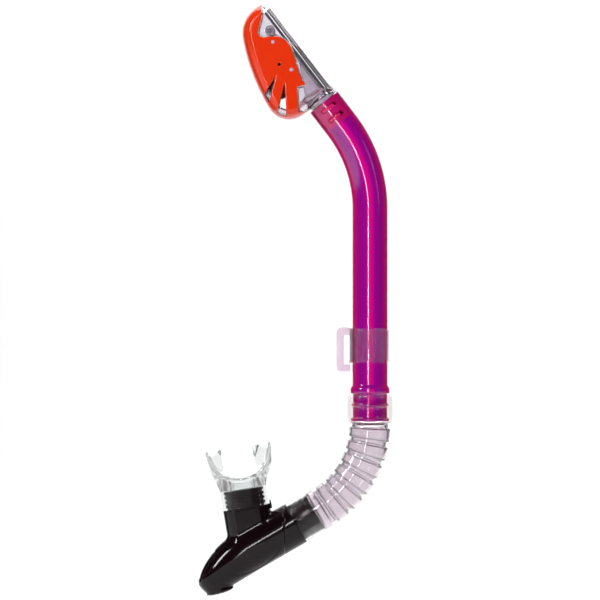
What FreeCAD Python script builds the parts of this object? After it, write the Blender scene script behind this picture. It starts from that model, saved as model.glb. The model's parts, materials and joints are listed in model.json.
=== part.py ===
"""Dry-top snorkel: bent barrel, float-valve head, strap keeper, ribbed hose, lower chamber with mouthpiece and purge.

Row frame, millimetres: the origin is the centre of the strap slot in the keeper's hook, +Z runs up along the
barrel's straight axis, +X points from the slot to the barrel, and the snorkel is symmetric about the plane Y = 0.

Everything is drawn in the barrel frame first, whose Z axis is the barrel's axis, and `export` shifts it by the slot's
distance from that axis. Each unit has a local frame of its own, turned about Y:
  HEAD     origin at the barrel's top end, Z out of the barrel, -X towards the belly that holds the float
  SEAT     origin in the middle of the slanted valve seat, Z up along the seat, -X towards the float
  CHAMBER  origin where the hose's arc ends, Z along the lower chamber towards its nose, -X towards its underside
  SEAM     origin where the joint between connector and chamber crosses their axis, Z across the joint
  NECK     origin where the mouthpiece neck crosses the chamber's axis, Z out of the neck
  PURGE    origin in the purge cover's outer face, Z into the chamber
"""

import FreeCAD, Part
import math
import os

from FreeCAD import Placement, Rotation, Vector

# ---------------------------------------------------------------- driving dimensions
CLEAR = 0.15            # gap of a fit that turns or slides, and of soft pieces against hard ones
TOUCH = 0.05            # gap between pieces of one body that are drawn apart

# barrel
BARREL_R = 13.3
BARREL_WALL = 2.0
BARREL_TOP_Z = 105.5    # where the straight run ends and the bend begins
BARREL_FOOT_Z = -53.6   # lower end of the hose spigot
BEND_R = 103.5
BEND_DEG = 37.5
TOP_RUN = 21.4          # straight run above the bend, which takes the head's plug

# hose spigot at the barrel's foot
FLARE_R = BARREL_R + 1.5
FLARE_TOP_Z = -26.5
FLARE_FOOT_Z = -32.9
FLARE_SLOPE = 1.6           # height of the flare's cone for each millimetre it stands out
SPIGOT_NECK_R = BARREL_R - 0.4
SPIGOT_LIP_R = SPIGOT_NECK_R + 1.5
SPIGOT_LIP_H = 2.3

# snap windows near the barrel's top
SNAP_LENGTH = 13.5
SNAP_WIDTH = 3.5
SNAP_DEPTHS = (5.7, 14.4)   # below the barrel's top end
SNAP_SINK = 0.35            # the ribs stand this far below the barrel's outside

# strap keeper
SLEEVE_WALL = 0.9
SLEEVE_TOP_Z = 16.0
SLEEVE_FOOT_Z = -9.8
SLEEVE_RIM_R = BARREL_R + CLEAR + SLEEVE_WALL + 1.85
SLEEVE_RIM_H = 0.9
RING_WALL = 1.0
SLOT_GAP = 4.3
SLOT_HEIGHT = 22.0
BAR_WIDTH = 5.4
HOOK_DEPTH = 9.0
HOOK_ARM_H = 5.8
HOOK_ROUND = 3.6
HOOK_TIP_GAP = 0.15         # how far the open arm reaches over the ring
RIM_RELIEF = 0.3            # gap round the sleeve's rim where the hook passes it

# hose
HOSE_TOP_Z = BARREL_FOOT_Z - 1.6
HOSE_BEND_R = 74.0
HOSE_SWEEP_DEG = 60.0
HOSE_BORE_R = 10.4
HOSE_VALLEY_R = HOSE_BORE_R + 3.3
HOSE_RIB_R = HOSE_VALLEY_R + 1.8
HOSE_RIBS = 6
RIB_FIRST_DEG = 5.9
RIB_PITCH_DEG = 9.3
RIB_WIDTH_DEG = 6.7
RIB_ROUND = 0.8
LAST_RIB_DEG = 58.6         # the last rib starts here and runs on over the chamber's spigot
LAST_RIB_END = 7.3          # along the chamber's axis
CUFF_R = SPIGOT_NECK_R + 4.4
CUFF_TOP_Z = FLARE_FOOT_Z - 2 * CLEAR
CUFF_ROUND = 2.2
LOWER_CUFF_END = 20.8       # along the chamber's axis
LOWER_CUFF_WALL = 2.1       # over the chamber's spigot
LOWER_BEAD_PROUD = 0.8
LOWER_BEAD_H = 3.8
BEAD_ROUND = 0.9

# lower chamber
CHAMBER_R = 16.5
CHAMBER_SPIGOT_R = 14.2
CHAMBER_SPIGOT_TOP = 4.4    # along the chamber's axis
CHAMBER_BORE_R = 11.4
CHAMBER_BORE_END = 80.0
NOSE_START = 62.0
NOSE_LENGTH = 108.0
NOSE_DROP = 6.0             # how far the nose's tip lies below the axis
NOSE_SAG = 0.8              # how far its underside lies below the trunk's
NOSE_FULLNESS = 12          # how squarely the underside ends
NOSE_STEPS = (0, 0.22, 0.42, 0.6, 0.74, 0.85, 0.93, 0.98)
SEAM_AT = 31.4              # where the joint with the connector crosses the chamber's axis
SEAM_TILT = 28.9
TENON_R = 13.4              # the connector's tenon inside the chamber
TENON_LENGTH = 6.0
NECK_AT = 58.7              # along the chamber's axis
NECK_TURN_DEG = 110.6       # between the chamber's axis and the neck's
NECK_SHOULDER = 30.9
POST_HALF_X = 14.6
POST_HALF_Y = 9.6
NECK_HALF_X = POST_HALF_X + 3.0
NECK_HALF_Y = POST_HALF_Y + 2.4
POST_LENGTH = 14.4
POST_WALL = 2.0
POST_BARBS = 4
BARB_HEIGHT = 0.5
BARB_FIRST = 1.0            # above the neck's shoulder
LUG_THICK = 1.3             # the lug that keys the mouthpiece's sleeve
LUG_HALF_Y = 2.6
LUG_LOW = 3.9               # below the neck's shoulder
LUG_HIGH = 2.7              # above it

# purge valve
PURGE_AT = 96.6             # along the chamber's axis
PURGE_OUT = 17.9            # from that axis to the cover's face
PURGE_TILT = 14.0           # the valve leans this far towards the nose
PURGE_BOSS_TOP = 1.6
PURGE_POCKET_R = 9.0
PURGE_BOSS_R = PURGE_POCKET_R + 1.4
PURGE_SEAT_R = PURGE_POCKET_R - 2.0
PURGE_SEAT_Z = 9.6
PURGE_FACE_H = 1.6
PURGE_DOME = 1.2
PURGE_SKIRT_H = 4.4
PURGE_TEETH = 14
PURGE_TOOTH_GAP = 1.5
PURGE_TOOTH_DEPTH = 2.2
PURGE_FRAME_H = 2.0
PURGE_STEM_R = 1.5
PURGE_HUB_R = 2.6
PURGE_SPOKES = 3
PURGE_SPOKE_W = 1.6
PURGE_SEAT_LAP = 0.6
PURGE_SKIRT_WALL = 1.3
PURGE_WEB_H = 1.2           # what is left of the skirt behind the teeth
PURGE_DISC_R = PURGE_SEAT_R + 0.8
PURGE_DISC_H = 0.8

# mouthpiece
MOUTH_SLEEVE_HALF_X = POST_HALF_X + 3.0
MOUTH_SLEEVE_HALF_Y = POST_HALF_Y + 2.6
MOUTH_SLEEVE_LENGTH = POST_LENGTH + 1.6
MOUTH_FLARE_HALF_X = MOUTH_SLEEVE_HALF_X + 5.8
MOUTH_FLARE_HALF_Y = MOUTH_SLEEVE_HALF_Y + 0.8
MOUTH_FLARE_END = 33.0      # above the neck's shoulder
MOUTH_BORE_HALF_X = POST_HALF_X - POST_WALL - 0.2
MOUTH_BORE_HALF_Y = POST_HALF_Y - POST_WALL - 0.2
ARCH_R = 22.4               # inside of the flange's arch, seen from above
ARCH_AT = 44.6              # centre of that arch above the neck's shoulder
ARCH_OFF = 1.3              # and off the neck's axis
FLANGE_T = 2.2
FLANGE_HALF_Y = MOUTH_FLARE_HALF_Y + 1.0
FLANGE_TIP_DEG = 2.0        # the flange's ends stand this far past the arch's centre
TAB_DEG = 26.0              # the bite tabs lie this far below the arch's centre
TAB_REACH = 11.5            # from the arch's inside to the bulb's middle
TAB_HALF_LENGTH = 7.0
TAB_WEB_HALF = 1.6
TAB_BULB_HALF_X = 2.4
TAB_BULB_HALF_Y = 3.8
TAB_BULB_ROUND = 1.6

# head
HEAD_BACK = BARREL_R - 1.1
HEAD_FOOT = 1.6
CROWN_X, CROWN_Z, CROWN_R = 1.5, 63.5, 24.0
BELLY_X, BELLY_Z, BELLY_R = -18.3, 19.3, 17.3
FLANK_R = 150.0
TIP_R = 4.5
HEAD_HALF_Y = 19.0
HEAD_EDGE = 8.0             # how far the outline has shrunk at the head's flat sides
COVER_WALL = 1.4
HOUSING_WALL = 1.6
PLUG_LENGTH = 19.6
PLUG_WALL = 1.9
COLLAR_R = BARREL_R - 0.2   # the housing's ring on the barrel's end
CONDUIT_BORE_X = -1.6       # the bore stands off towards the float
SEAT_LEDGE = 1.55           # which leaves the seat this ledge at the back
SEAT_FOOT = 8.0             # where the slanted seat meets the belly side of that bore
SEAT_TOP = 43.0             # and where it meets the back
HINGE_X = 0.3
HINGE_Z = 66.4
PIN_R = 1.1
PIN_CLEAR = 0.06
BOSS_R = 3.2
FLOAT_OPEN_DEG = 10.0
ARM_HALF_Y = 7.5
ARM_BAR = 2.2
ARM_SIDE_GAP = 0.3          # between the arm's eye and the bosses
SEAL_H = 1.6
SEAL_LAP_END = 2.0          # how far the seal laps over the seat's ends
SEAL_LAP_SIDE = 1.3         # and over its sides
SEAL_GAP = 0.12
PLATE_H = 1.4
PLATE_INSET = 2.0           # the arm's plate is this much smaller than the seal
BUTTON_R = 1.2
BUTTON_HEAD_H = 0.8
EYE_WALL = 1.5
BAR_HALF = 3.0
FLOAT_HALF_Y = 11.5
FLOAT_FOOT = (-6.0, 7.8)    # height along the seat and radius of the float's lower round
FLOAT_HEAD = (8.5, 5.8)
FLOAT_ROUND = 3.0
FLOAT_WALL = 1.2
ORING_R = 0.8
ORING_DEPTH = PLUG_LENGTH - 1.6
PEG_R = 1.3
PEGS = ((-3.7, 58.4), (-5.3, 33.7))
VENT = (-9.9, 42.1)
VENT_R = 1.2
SLOT_RIM = 1.9              # the cover's keel below the fan slots
HOUSING_SLOT_RIM = 7.0      # the housing's own openings end this far inside the outline
DRAIN_MOUTH = ((-9.0, 19.0), (-4.5, 17.0), (-15.0, 7.5), (-18.0, 8.5))
PIN_HALF_Y = 14.95

# ---------------------------------------------------------------- frames
Y = Vector(0, 1, 0)
Z = Vector(0, 0, 1)


def turned(x, z, degrees):
    """A frame at (x, z), turned about Y."""
    return Placement(Vector(x, 0, z), Rotation(Y, degrees))


BEND = math.radians(BEND_DEG)
HEAD = turned(
    -BEND_R * (1 - math.cos(BEND)) - TOP_RUN * math.sin(BEND),
    BARREL_TOP_Z + BEND_R * math.sin(BEND) + TOP_RUN * math.cos(BEND),
    -BEND_DEG)
SWEEP = math.radians(HOSE_SWEEP_DEG)
CHAMBER = turned(
    -HOSE_BEND_R * (1 - math.cos(SWEEP)),
    HOSE_TOP_Z - HOSE_BEND_R * math.sin(SWEEP),
    HOSE_SWEEP_DEG - 180)
NECK = CHAMBER.multiply(turned(0, NECK_AT, NECK_TURN_DEG))
PURGE_IN_CHAMBER = turned(-PURGE_OUT, PURGE_AT, 90 + PURGE_TILT)
PURGE = CHAMBER.multiply(PURGE_IN_CHAMBER)
HEAD_WALL = COVER_WALL + TOUCH + HOUSING_WALL   # from the head's outside to its inside
CONDUIT_BORE_R = HEAD_BACK - HEAD_WALL - SEAT_LEDGE - CONDUIT_BORE_X
SEAM_IN_CHAMBER = turned(0, SEAM_AT, SEAM_TILT)
SEAT_DEG = math.degrees(math.atan2(2 * CONDUIT_BORE_R, SEAT_TOP - SEAT_FOOT))
SEAT_IN_HEAD = turned(CONDUIT_BORE_X, (SEAT_FOOT + SEAT_TOP) / 2, SEAT_DEG)
HINGE_IN_SEAT = SEAT_IN_HEAD.inverse().multVec(Vector(HINGE_X, 0, HINGE_Z))
RING_R = BARREL_R + 2 * CLEAR + SLEEVE_WALL + RING_WALL
SLOT_X = -RING_R - SLOT_GAP / 2
PLUG_R = BARREL_R - BARREL_WALL - TOUCH
FLOOR_Z = HEAD_FOOT + HEAD_WALL                 # inside of the housing's floor
PLUG_TOP = FLOOR_Z + HOUSING_WALL               # the plug ends here, inside the conduit
SHOULDER_Z = LOWER_CUFF_END + 2 * CLEAR         # the connector's shoulder, below the hose's cuff

# ---------------------------------------------------------------- helpers


def rod(radius, z0, z1):
    """A round rod along Z."""
    return Part.makeCylinder(radius, z1 - z0, Vector(0, 0, z0), Z)


def tube(outer, inner, z0, z1):
    return rod(outer, z0, z1).cut(rod(inner, z0, z1))


def block(x0, x1, y0, y1, z0, z1):
    return Part.makeBox(x1 - x0, y1 - y0, z1 - z0, Vector(x0, y0, z0))


def cross_rod(radius, x, z, half_y):
    """A round rod along Y through (x, z)."""
    return Part.makeCylinder(radius, 2 * half_y, Vector(x, -half_y, z), Y)


def turn_profile(points):
    """Revolve a closed (radius, z) outline about Z."""
    wire = Part.makePolygon([Vector(r, 0, z) for r, z in points + points[:1]])
    return Part.Face(wire).revolve(Vector(0, 0, 0), Z, 360)


def slab(points, half_y):
    """Extrude a closed (x, z) outline both ways from the plane Y = 0."""
    wire = Part.makePolygon([Vector(x, -half_y, z) for x, z in points + points[:1]])
    return Part.Face(wire).extrude(Vector(0, 2 * half_y, 0))


def racetrack(half_x, half_y, z):
    """A wire of two half circles joined by straight sides, across Z."""
    flat = half_x - half_y
    left, right = Vector(-flat, 0, z), Vector(flat, 0, z)
    up, out = Vector(0, half_y, 0), Vector(half_y, 0, 0)
    return Part.Wire([
        Part.makeLine(left - up, right - up),
        Part.Arc(right - up, right + out, right + up).toShape(),
        Part.makeLine(right + up, left + up),
        Part.Arc(left + up, left - out, left - up).toShape()])


def oval(half_x, half_y, z0, z1):
    return Part.Face(racetrack(half_x, half_y, z0)).extrude(Vector(0, 0, z1 - z0))


def bent(radius, z0, top_run):
    """A round rod up the barrel's axis from z0, round the bend and on for top_run."""
    straight = rod(radius, z0, BARREL_TOP_Z)
    disc = Part.Face(Part.Wire(Part.makeCircle(radius, Vector(0, 0, BARREL_TOP_Z), Z)))
    bend = disc.revolve(Vector(-BEND_R, 0, BARREL_TOP_Z), Y, -BEND_DEG)
    top = rod(radius, -TOP_RUN, top_run - TOP_RUN)
    top.Placement = HEAD
    return straight.fuse([bend, top])


def hose_arc(radius, start_deg, end_deg):
    """A round rod along the hose's arc between two angles from its top."""
    disc = Part.Face(Part.Wire(Part.makeCircle(radius, Vector(0, 0, HOSE_TOP_Z), Z)))
    centre = Vector(-HOSE_BEND_R, 0, HOSE_TOP_Z)
    disc.rotate(centre, Y, start_deg)
    return disc.revolve(centre, Y, end_deg - start_deg)


def placed(shape, frame):
    """A copy of a shape drawn in a local frame, in the barrel frame."""
    copy = shape.copy()
    copy.Placement = frame.multiply(copy.Placement)
    return copy


def export(name, shape):
    """Write one node, moved from the barrel frame to the row frame."""
    moved = shape.removeSplitter()
    moved.translate(Vector(-SLOT_X, 0, 0))
    if not moved.isValid():
        raise ValueError(name + " is not a valid shape")
    moved.exportStep("parts/" + name + ".step")


# ---------------------------------------------------------------- barrel and keeper


def barrel():
    foot = turn_profile([
        (0, BARREL_FOOT_Z), (SPIGOT_LIP_R, BARREL_FOOT_Z),
        (SPIGOT_LIP_R, BARREL_FOOT_Z + SPIGOT_LIP_H), (SPIGOT_NECK_R, BARREL_FOOT_Z + SPIGOT_LIP_H),
        (SPIGOT_NECK_R, FLARE_FOOT_Z), (FLARE_R, FLARE_FOOT_Z),
        (FLARE_R, FLARE_TOP_Z - (FLARE_R - BARREL_R) * FLARE_SLOPE), (BARREL_R, FLARE_TOP_Z), (0, FLARE_TOP_Z)])
    body = bent(BARREL_R, FLARE_TOP_Z, TOP_RUN).fuse(foot)
    body = body.cut(bent(BARREL_R - BARREL_WALL, BARREL_FOOT_Z, TOP_RUN))
    windows = [placed(snap_oblong(depth, 0, BARREL_R + 1), HEAD) for depth in SNAP_DEPTHS]
    return body.cut(windows)


def snap_oblong(depth, gap, reach):
    """A rounded bar through the barrel's front and back, slimmer by gap all round."""
    end_r = SNAP_WIDTH / 2 - gap
    run = SNAP_LENGTH / 2 - SNAP_WIDTH / 2
    shape = block(-run, run, -reach, reach, -depth - end_r, -depth + end_r)
    return shape.fuse([cross_rod(end_r, x, -depth, reach) for x in (-run, run)])


def keeper_sleeve():
    inner = BARREL_R + CLEAR
    outer = inner + SLEEVE_WALL
    low, high = SLEEVE_FOOT_Z + SLEEVE_RIM_H, SLEEVE_TOP_Z - SLEEVE_RIM_H
    return turn_profile([
        (inner, SLEEVE_FOOT_Z), (SLEEVE_RIM_R, SLEEVE_FOOT_Z), (SLEEVE_RIM_R, low), (outer, low),
        (outer, high), (SLEEVE_RIM_R, high), (SLEEVE_RIM_R, SLEEVE_TOP_Z), (inner, SLEEVE_TOP_Z)])


def keeper_clip():
    low = SLEEVE_FOOT_Z + SLEEVE_RIM_H + CLEAR
    high = SLEEVE_TOP_Z - SLEEVE_RIM_H - CLEAR
    half = SLOT_HEIGHT / 2
    outside = half + HOOK_ARM_H
    bar_x = -RING_R - SLOT_GAP
    hook = slab([
        (-BARREL_R, outside), (bar_x - BAR_WIDTH, outside), (bar_x - BAR_WIDTH, -outside),
        (HOOK_TIP_GAP - RING_R, -outside), (HOOK_TIP_GAP - RING_R, -half), (bar_x, -half), (bar_x, half),
        (-BARREL_R, half)], HOOK_DEPTH / 2)
    corners = [e for e in hook.Edges
               if abs(e.BoundBox.XMax - bar_x + BAR_WIDTH) < 0.01 and e.BoundBox.YLength > 1]
    hook = hook.makeFillet(HOOK_ROUND, corners)
    hook = hook.cut(rod(RING_R - RING_WALL, -outside, outside))
    hook = hook.cut(rod(SLEEVE_RIM_R + RIM_RELIEF, high, outside + 1))
    return hook.fuse(tube(RING_R, RING_R - RING_WALL, low, high))


# ---------------------------------------------------------------- hose


def flex_hose():
    skin = hose_arc(HOSE_VALLEY_R, 0, HOSE_SWEEP_DEG)
    ribs = []
    for i in range(HOSE_RIBS):
        middle = RIB_FIRST_DEG + i * RIB_PITCH_DEG
        rib = hose_arc(HOSE_RIB_R, middle - RIB_WIDTH_DEG / 2, middle + RIB_WIDTH_DEG / 2)
        edges = [e for e in rib.Edges if isinstance(e.Curve, Part.Circle)
                 and abs(e.Curve.Radius - HOSE_RIB_R) < 0.01]
        ribs.append(rib.makeFillet(RIB_ROUND, edges))
    ribs.append(hose_arc(HOSE_RIB_R, LAST_RIB_DEG, HOSE_SWEEP_DEG))
    ribs.append(placed(rod(HOSE_RIB_R, 0, LAST_RIB_END), CHAMBER))
    upper = rod(CUFF_R, HOSE_TOP_Z, CUFF_TOP_Z)
    upper = upper.makeFillet(CUFF_ROUND, upper.Edges)
    lower = rod(CHAMBER_SPIGOT_R + LOWER_CUFF_WALL, LAST_RIB_END, LOWER_CUFF_END)
    bead = rod(CHAMBER_SPIGOT_R + LOWER_CUFF_WALL + LOWER_BEAD_PROUD, LOWER_CUFF_END - LOWER_BEAD_H, LOWER_CUFF_END)
    lower = placed(lower.fuse(bead.makeFillet(BEAD_ROUND, bead.Edges)), CHAMBER)
    body = skin.fuse(ribs + [upper, lower])
    lip_top = BARREL_FOOT_Z + SPIGOT_LIP_H + CLEAR
    hollow = [
        rod(SPIGOT_NECK_R + CLEAR, lip_top - 1, CUFF_TOP_Z),
        rod(SPIGOT_LIP_R + CLEAR, BARREL_FOOT_Z - CLEAR, lip_top),
        rod(HOSE_BORE_R, HOSE_TOP_Z, lip_top),
        hose_arc(HOSE_BORE_R, 0, HOSE_SWEEP_DEG),
        placed(rod(HOSE_BORE_R, 0, CHAMBER_SPIGOT_TOP), CHAMBER),
        placed(rod(CHAMBER_SPIGOT_R + CLEAR, CHAMBER_SPIGOT_TOP - CLEAR, LOWER_CUFF_END), CHAMBER)]
    return body.cut(hollow)


# ---------------------------------------------------------------- lower chamber


def nose(inset):
    """The chamber's nose: its top falls like an ellipse while its underside runs on to the purge valve."""
    length = NOSE_LENGTH - NOSE_START - inset
    rings = []
    for t in NOSE_STEPS:
        round_off = math.sqrt(1 - t * t)
        top = CHAMBER_R * round_off - NOSE_DROP * t * t
        foot = -CHAMBER_R * math.sqrt(1 - t ** NOSE_FULLNESS) - NOSE_SAG * t
        centre = Vector((top + foot) / 2, 0, NOSE_START + length * t)
        rings.append(Part.Wire(Part.makeCircle((top - foot) / 2 - inset, centre, Z)))
    return Part.makeLoft(rings, True, False)


def past_seam(offset):
    """Everything on the nose's side of the joint, from offset on."""
    return placed(block(-60, 60, -40, 40, offset, 140), SEAM_IN_CHAMBER)


def chamber_connector():
    """Spigot in the hose's lower cuff, slanted collar, and tenon in the chamber."""
    collar = rod(CHAMBER_R, SHOULDER_Z, NOSE_START).cut(past_seam(-TOUCH))
    tenon = rod(TENON_R, SHOULDER_Z, NOSE_START).cut(past_seam(TENON_LENGTH))
    body = collar.fuse([tenon, rod(CHAMBER_SPIGOT_R, CHAMBER_SPIGOT_TOP, SHOULDER_Z)])
    return placed(body.cut(rod(CHAMBER_BORE_R, CHAMBER_SPIGOT_TOP, NOSE_START)), CHAMBER)


def neck_post():
    """Barbed post that the mouthpiece's sleeve is pulled over."""
    post = oval(POST_HALF_X, POST_HALF_Y, NECK_SHOULDER, NECK_SHOULDER + POST_LENGTH)
    pitch = (POST_LENGTH - BARB_FIRST) / POST_BARBS
    for i in range(POST_BARBS):
        low = NECK_SHOULDER + BARB_FIRST + i * pitch
        barb = Part.makeLoft([
            racetrack(POST_HALF_X + BARB_HEIGHT, POST_HALF_Y + BARB_HEIGHT, low + pitch * 0.2),
            racetrack(POST_HALF_X, POST_HALF_Y, low + pitch * 0.8)], True, True)
        post = post.fuse(barb)
    return post


def neck_lug():
    out = NECK_HALF_X + TOUCH + CLEAR
    foot = block(NECK_HALF_X - 1, out + LUG_THICK, -LUG_HALF_Y, LUG_HALF_Y,
                 NECK_SHOULDER - LUG_LOW, NECK_SHOULDER)
    return foot.fuse(block(out, out + LUG_THICK, -LUG_HALF_Y, LUG_HALF_Y,
                           NECK_SHOULDER - LUG_LOW, NECK_SHOULDER + LUG_HIGH))


def lower_chamber():
    trunk = rod(CHAMBER_R, SHOULDER_Z, NOSE_START).fuse(nose(0))
    trunk = trunk.fuse(placed(rod(PURGE_BOSS_R, PURGE_BOSS_TOP, PURGE_SEAT_Z + 1), PURGE_IN_CHAMBER))
    neck = oval(NECK_HALF_X, NECK_HALF_Y, 0, NECK_SHOULDER).fuse([neck_post(), neck_lug()])
    neck_in_chamber = turned(0, NECK_AT, NECK_TURN_DEG)
    body = trunk.fuse([placed(neck, neck_in_chamber)]).common(past_seam(0))
    socket = rod(TENON_R + TOUCH, SHOULDER_Z, NOSE_START).cut(past_seam(TENON_LENGTH + CLEAR))
    hollow = [
        rod(CHAMBER_BORE_R, CHAMBER_SPIGOT_TOP, CHAMBER_BORE_END), socket,
        placed(oval(POST_HALF_X - POST_WALL, POST_HALF_Y - POST_WALL, 0, NECK_SHOULDER + POST_LENGTH),
               neck_in_chamber),
        placed(rod(PURGE_POCKET_R, 0, PURGE_SEAT_Z), PURGE_IN_CHAMBER),
        placed(rod(PURGE_SEAT_R, 0, PURGE_OUT - 1), PURGE_IN_CHAMBER),
        rod(PURGE_SEAT_R + PURGE_SEAT_LAP, CHAMBER_BORE_END - 1, PURGE_AT)]
    return placed(body.cut(hollow), CHAMBER)


def purge_frame():
    """Spoked seat that the disc closes: ring, three spokes, hub and stem."""
    high = PURGE_SEAT_Z - TOUCH
    low = high - PURGE_FRAME_H
    outer = PURGE_POCKET_R - TOUCH
    half = PURGE_SPOKE_W / 2
    spokes = [block(0, outer - 1, -half, half, low, high) for _ in range(PURGE_SPOKES)]
    for i, spoke in enumerate(spokes):
        spoke.rotate(Vector(0, 0, 0), Z, 360 / PURGE_SPOKES * i)
    ring = tube(outer, PURGE_SEAT_R - PURGE_SEAT_LAP, low, high)
    stem = rod(PURGE_STEM_R, PURGE_SKIRT_H - 1, high)
    return placed(ring.fuse(spokes + [rod(PURGE_HUB_R, low, high), stem]), PURGE)


def purge_disc():
    face = PURGE_SEAT_Z - TOUCH - PURGE_FRAME_H - TOUCH
    return placed(tube(PURGE_DISC_R, PURGE_STEM_R + CLEAR, face - PURGE_DISC_H, face), PURGE)


def purge_cover():
    """Domed cap with a toothed rim; water leaves between the teeth."""
    outer = PURGE_POCKET_R - TOUCH
    cap = rod(outer, 0, PURGE_FACE_H).fuse(tube(outer, outer - PURGE_SKIRT_WALL, 0, PURGE_SKIRT_H))
    dome_r = (outer ** 2 + PURGE_DOME ** 2) / (2 * PURGE_DOME)
    dome = Part.makeSphere(dome_r, Vector(0, 0, dome_r)).common(rod(outer, -1, PURGE_DOME + 0.5))
    cap = cap.cut(rod(outer + 1, -1, PURGE_DOME)).fuse(dome)
    gaps = []
    for i in range(PURGE_TEETH):
        gap = block(outer - PURGE_TOOTH_DEPTH, outer + 1, -PURGE_TOOTH_GAP / 2, PURGE_TOOTH_GAP / 2,
                    -1, PURGE_SKIRT_H - PURGE_WEB_H)
        gap.rotate(Vector(0, 0, 0), Z, 360 * i / PURGE_TEETH)
        gaps.append(gap)
    return placed(cap.cut(gaps), PURGE)


# ---------------------------------------------------------------- mouthpiece


def bite_tab(side):
    """One tab: a web between the teeth and a bulb behind them."""
    bulb_r = ARCH_R - TAB_REACH
    web = block(bulb_r, ARCH_R + 0.5, -TAB_WEB_HALF, TAB_WEB_HALF, -TAB_HALF_LENGTH, TAB_HALF_LENGTH)
    bulb = block(bulb_r - TAB_BULB_HALF_X, bulb_r + TAB_BULB_HALF_X, -TAB_BULB_HALF_Y, TAB_BULB_HALF_Y,
                 -TAB_HALF_LENGTH, TAB_HALF_LENGTH)
    bulb = bulb.makeFillet(TAB_BULB_ROUND, bulb.Edges)
    tab = web.fuse(bulb)
    tab.rotate(Vector(0, 0, 0), Y, TAB_DEG)
    if side < 0:
        tab = tab.mirror(Vector(0, 0, 0), Vector(1, 0, 0))
    tab.translate(Vector(ARCH_OFF, 0, ARCH_AT))
    return tab


def mouthpiece():
    """Drawn with Z = 0 at the neck's shoulder."""
    foot = TOUCH
    sleeve = oval(MOUTH_SLEEVE_HALF_X, MOUTH_SLEEVE_HALF_Y, foot, MOUTH_SLEEVE_LENGTH)
    flare = Part.makeLoft([
        racetrack(MOUTH_SLEEVE_HALF_X, MOUTH_SLEEVE_HALF_Y, MOUTH_SLEEVE_LENGTH),
        racetrack(MOUTH_FLARE_HALF_X, MOUTH_FLARE_HALF_Y, MOUTH_FLARE_END)], True, True)
    arch = cross_rod(ARCH_R, ARCH_OFF, ARCH_AT, FLANGE_HALF_Y + 5)
    flange = cross_rod(ARCH_R + FLANGE_T, ARCH_OFF, ARCH_AT, FLANGE_HALF_Y)
    below = block(-60, 60, -30, 30, -10, ARCH_AT + FLANGE_TIP_DEG)
    flange = flange.common(below)
    body = sleeve.fuse([flare, flange]).cut(arch)
    body = body.fuse([bite_tab(1), bite_tab(-1)])
    barb_x = POST_HALF_X + BARB_HEIGHT + CLEAR
    barb_y = POST_HALF_Y + BARB_HEIGHT + CLEAR
    body = body.cut([
        oval(barb_x, barb_y, 0, POST_LENGTH + CLEAR),
        oval(MOUTH_BORE_HALF_X, MOUTH_BORE_HALF_Y, 0, ARCH_AT)])
    return placed(body, NECK.multiply(turned(0, NECK_SHOULDER, 0)))


# ---------------------------------------------------------------- head


def enclosing_centre(a, ra, b, rb, radius):
    """Centre of the arc of given radius that touches two circles from outside, on their right."""
    da, db = radius - ra, radius - rb
    gap = b - a
    dist = gap.Length
    along = (da * da - db * db + dist * dist) / (2 * dist)
    across = math.sqrt(da * da - along * along)
    unit = gap * (1 / dist)
    return a + unit * along + Vector(-unit.z, 0, unit.x) * across


def touch_point(centre, other, radius):
    """The point of the circle round centre on the line from other through centre."""
    away = centre - other
    return centre + away * (radius / away.Length)


def middle_point(centre, a, b, radius):
    """The point of an arc half way between its ends."""
    way = (a - centre) + (b - centre)
    return centre + way * (radius / way.Length)


def head_outline(inset, y):
    """The head's side outline, shrunk by inset and laid in the plane y."""
    tip_r = TIP_R - 0.4 * inset
    crown = Vector(CROWN_X, 0, CROWN_Z)
    belly = Vector(BELLY_X, 0, BELLY_Z)
    crown_r, belly_r, flank_r = CROWN_R - inset, BELLY_R - inset, FLANK_R - inset
    back = HEAD_BACK - inset
    tip_x = back - tip_r
    rise = math.sqrt((crown_r - tip_r) ** 2 - (tip_x - CROWN_X) ** 2)
    tip = Vector(tip_x, 0, CROWN_Z + rise)
    flank = enclosing_centre(crown, crown_r, belly, belly_r, flank_r)
    foot_z = HEAD_FOOT + inset
    p_back_low = Vector(back, 0, foot_z)
    p_back_top = Vector(back, 0, tip.z)
    p_tip = touch_point(tip, crown, tip_r)
    p_crown = touch_point(crown, flank, crown_r)
    p_belly = touch_point(belly, flank, belly_r)
    p_foot = Vector(BELLY_X, 0, BELLY_Z - belly_r)

    def arc(centre, a, b, radius):
        return Part.Arc(a, middle_point(centre, a, b, radius), b).toShape()

    edges = [
        Part.makeLine(p_back_low, p_back_top),
        arc(tip, p_back_top, p_tip, tip_r),
        arc(crown, p_tip, p_crown, crown_r),
        arc(flank, p_crown, p_belly, flank_r),
        arc(belly, p_belly, p_foot, belly_r),
        Part.makeLine(p_foot, p_back_low)]
    wire = Part.Wire(edges)
    wire.translate(Vector(0, y, 0))
    return wire


def head_form(inset):
    """The head's pillow shape, shrunk by inset all round."""
    half = HEAD_HALF_Y - inset
    levels = (0, 0.45, 0.72, 0.88, 0.97, 1.0)
    rows = []
    for level in [-v for v in reversed(levels[1:])] + list(levels):
        shrink = HEAD_EDGE * (1 - math.sqrt(1 - level * level))
        rows.append(head_outline(inset + shrink * 0.9, half * level))
    return Part.makeLoft(rows, True, False)


CUT_EDGE = ((6.2, 86.3), (2.0, 79.1), (-5.8, 72.8), (-8.5, 69.4), (-7.2, 65.6), (-2.9, 63.0), (2.9, 58.1),
            (5.1, 50.0), (2.7, 40.7), (-2.1, 28.3), (-3.7, 18.2))
FAN_FINGER = ((-9.6, 20.9), (-19.9, 5.1))
FAN_SLOTS = (((-17.0, 37.1), (-36.5, 29.6), (-35.5, 22.6)), ((-15.3, 28.6), (-35.0, 13.2), (-29.5, 8.0)))


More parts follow.
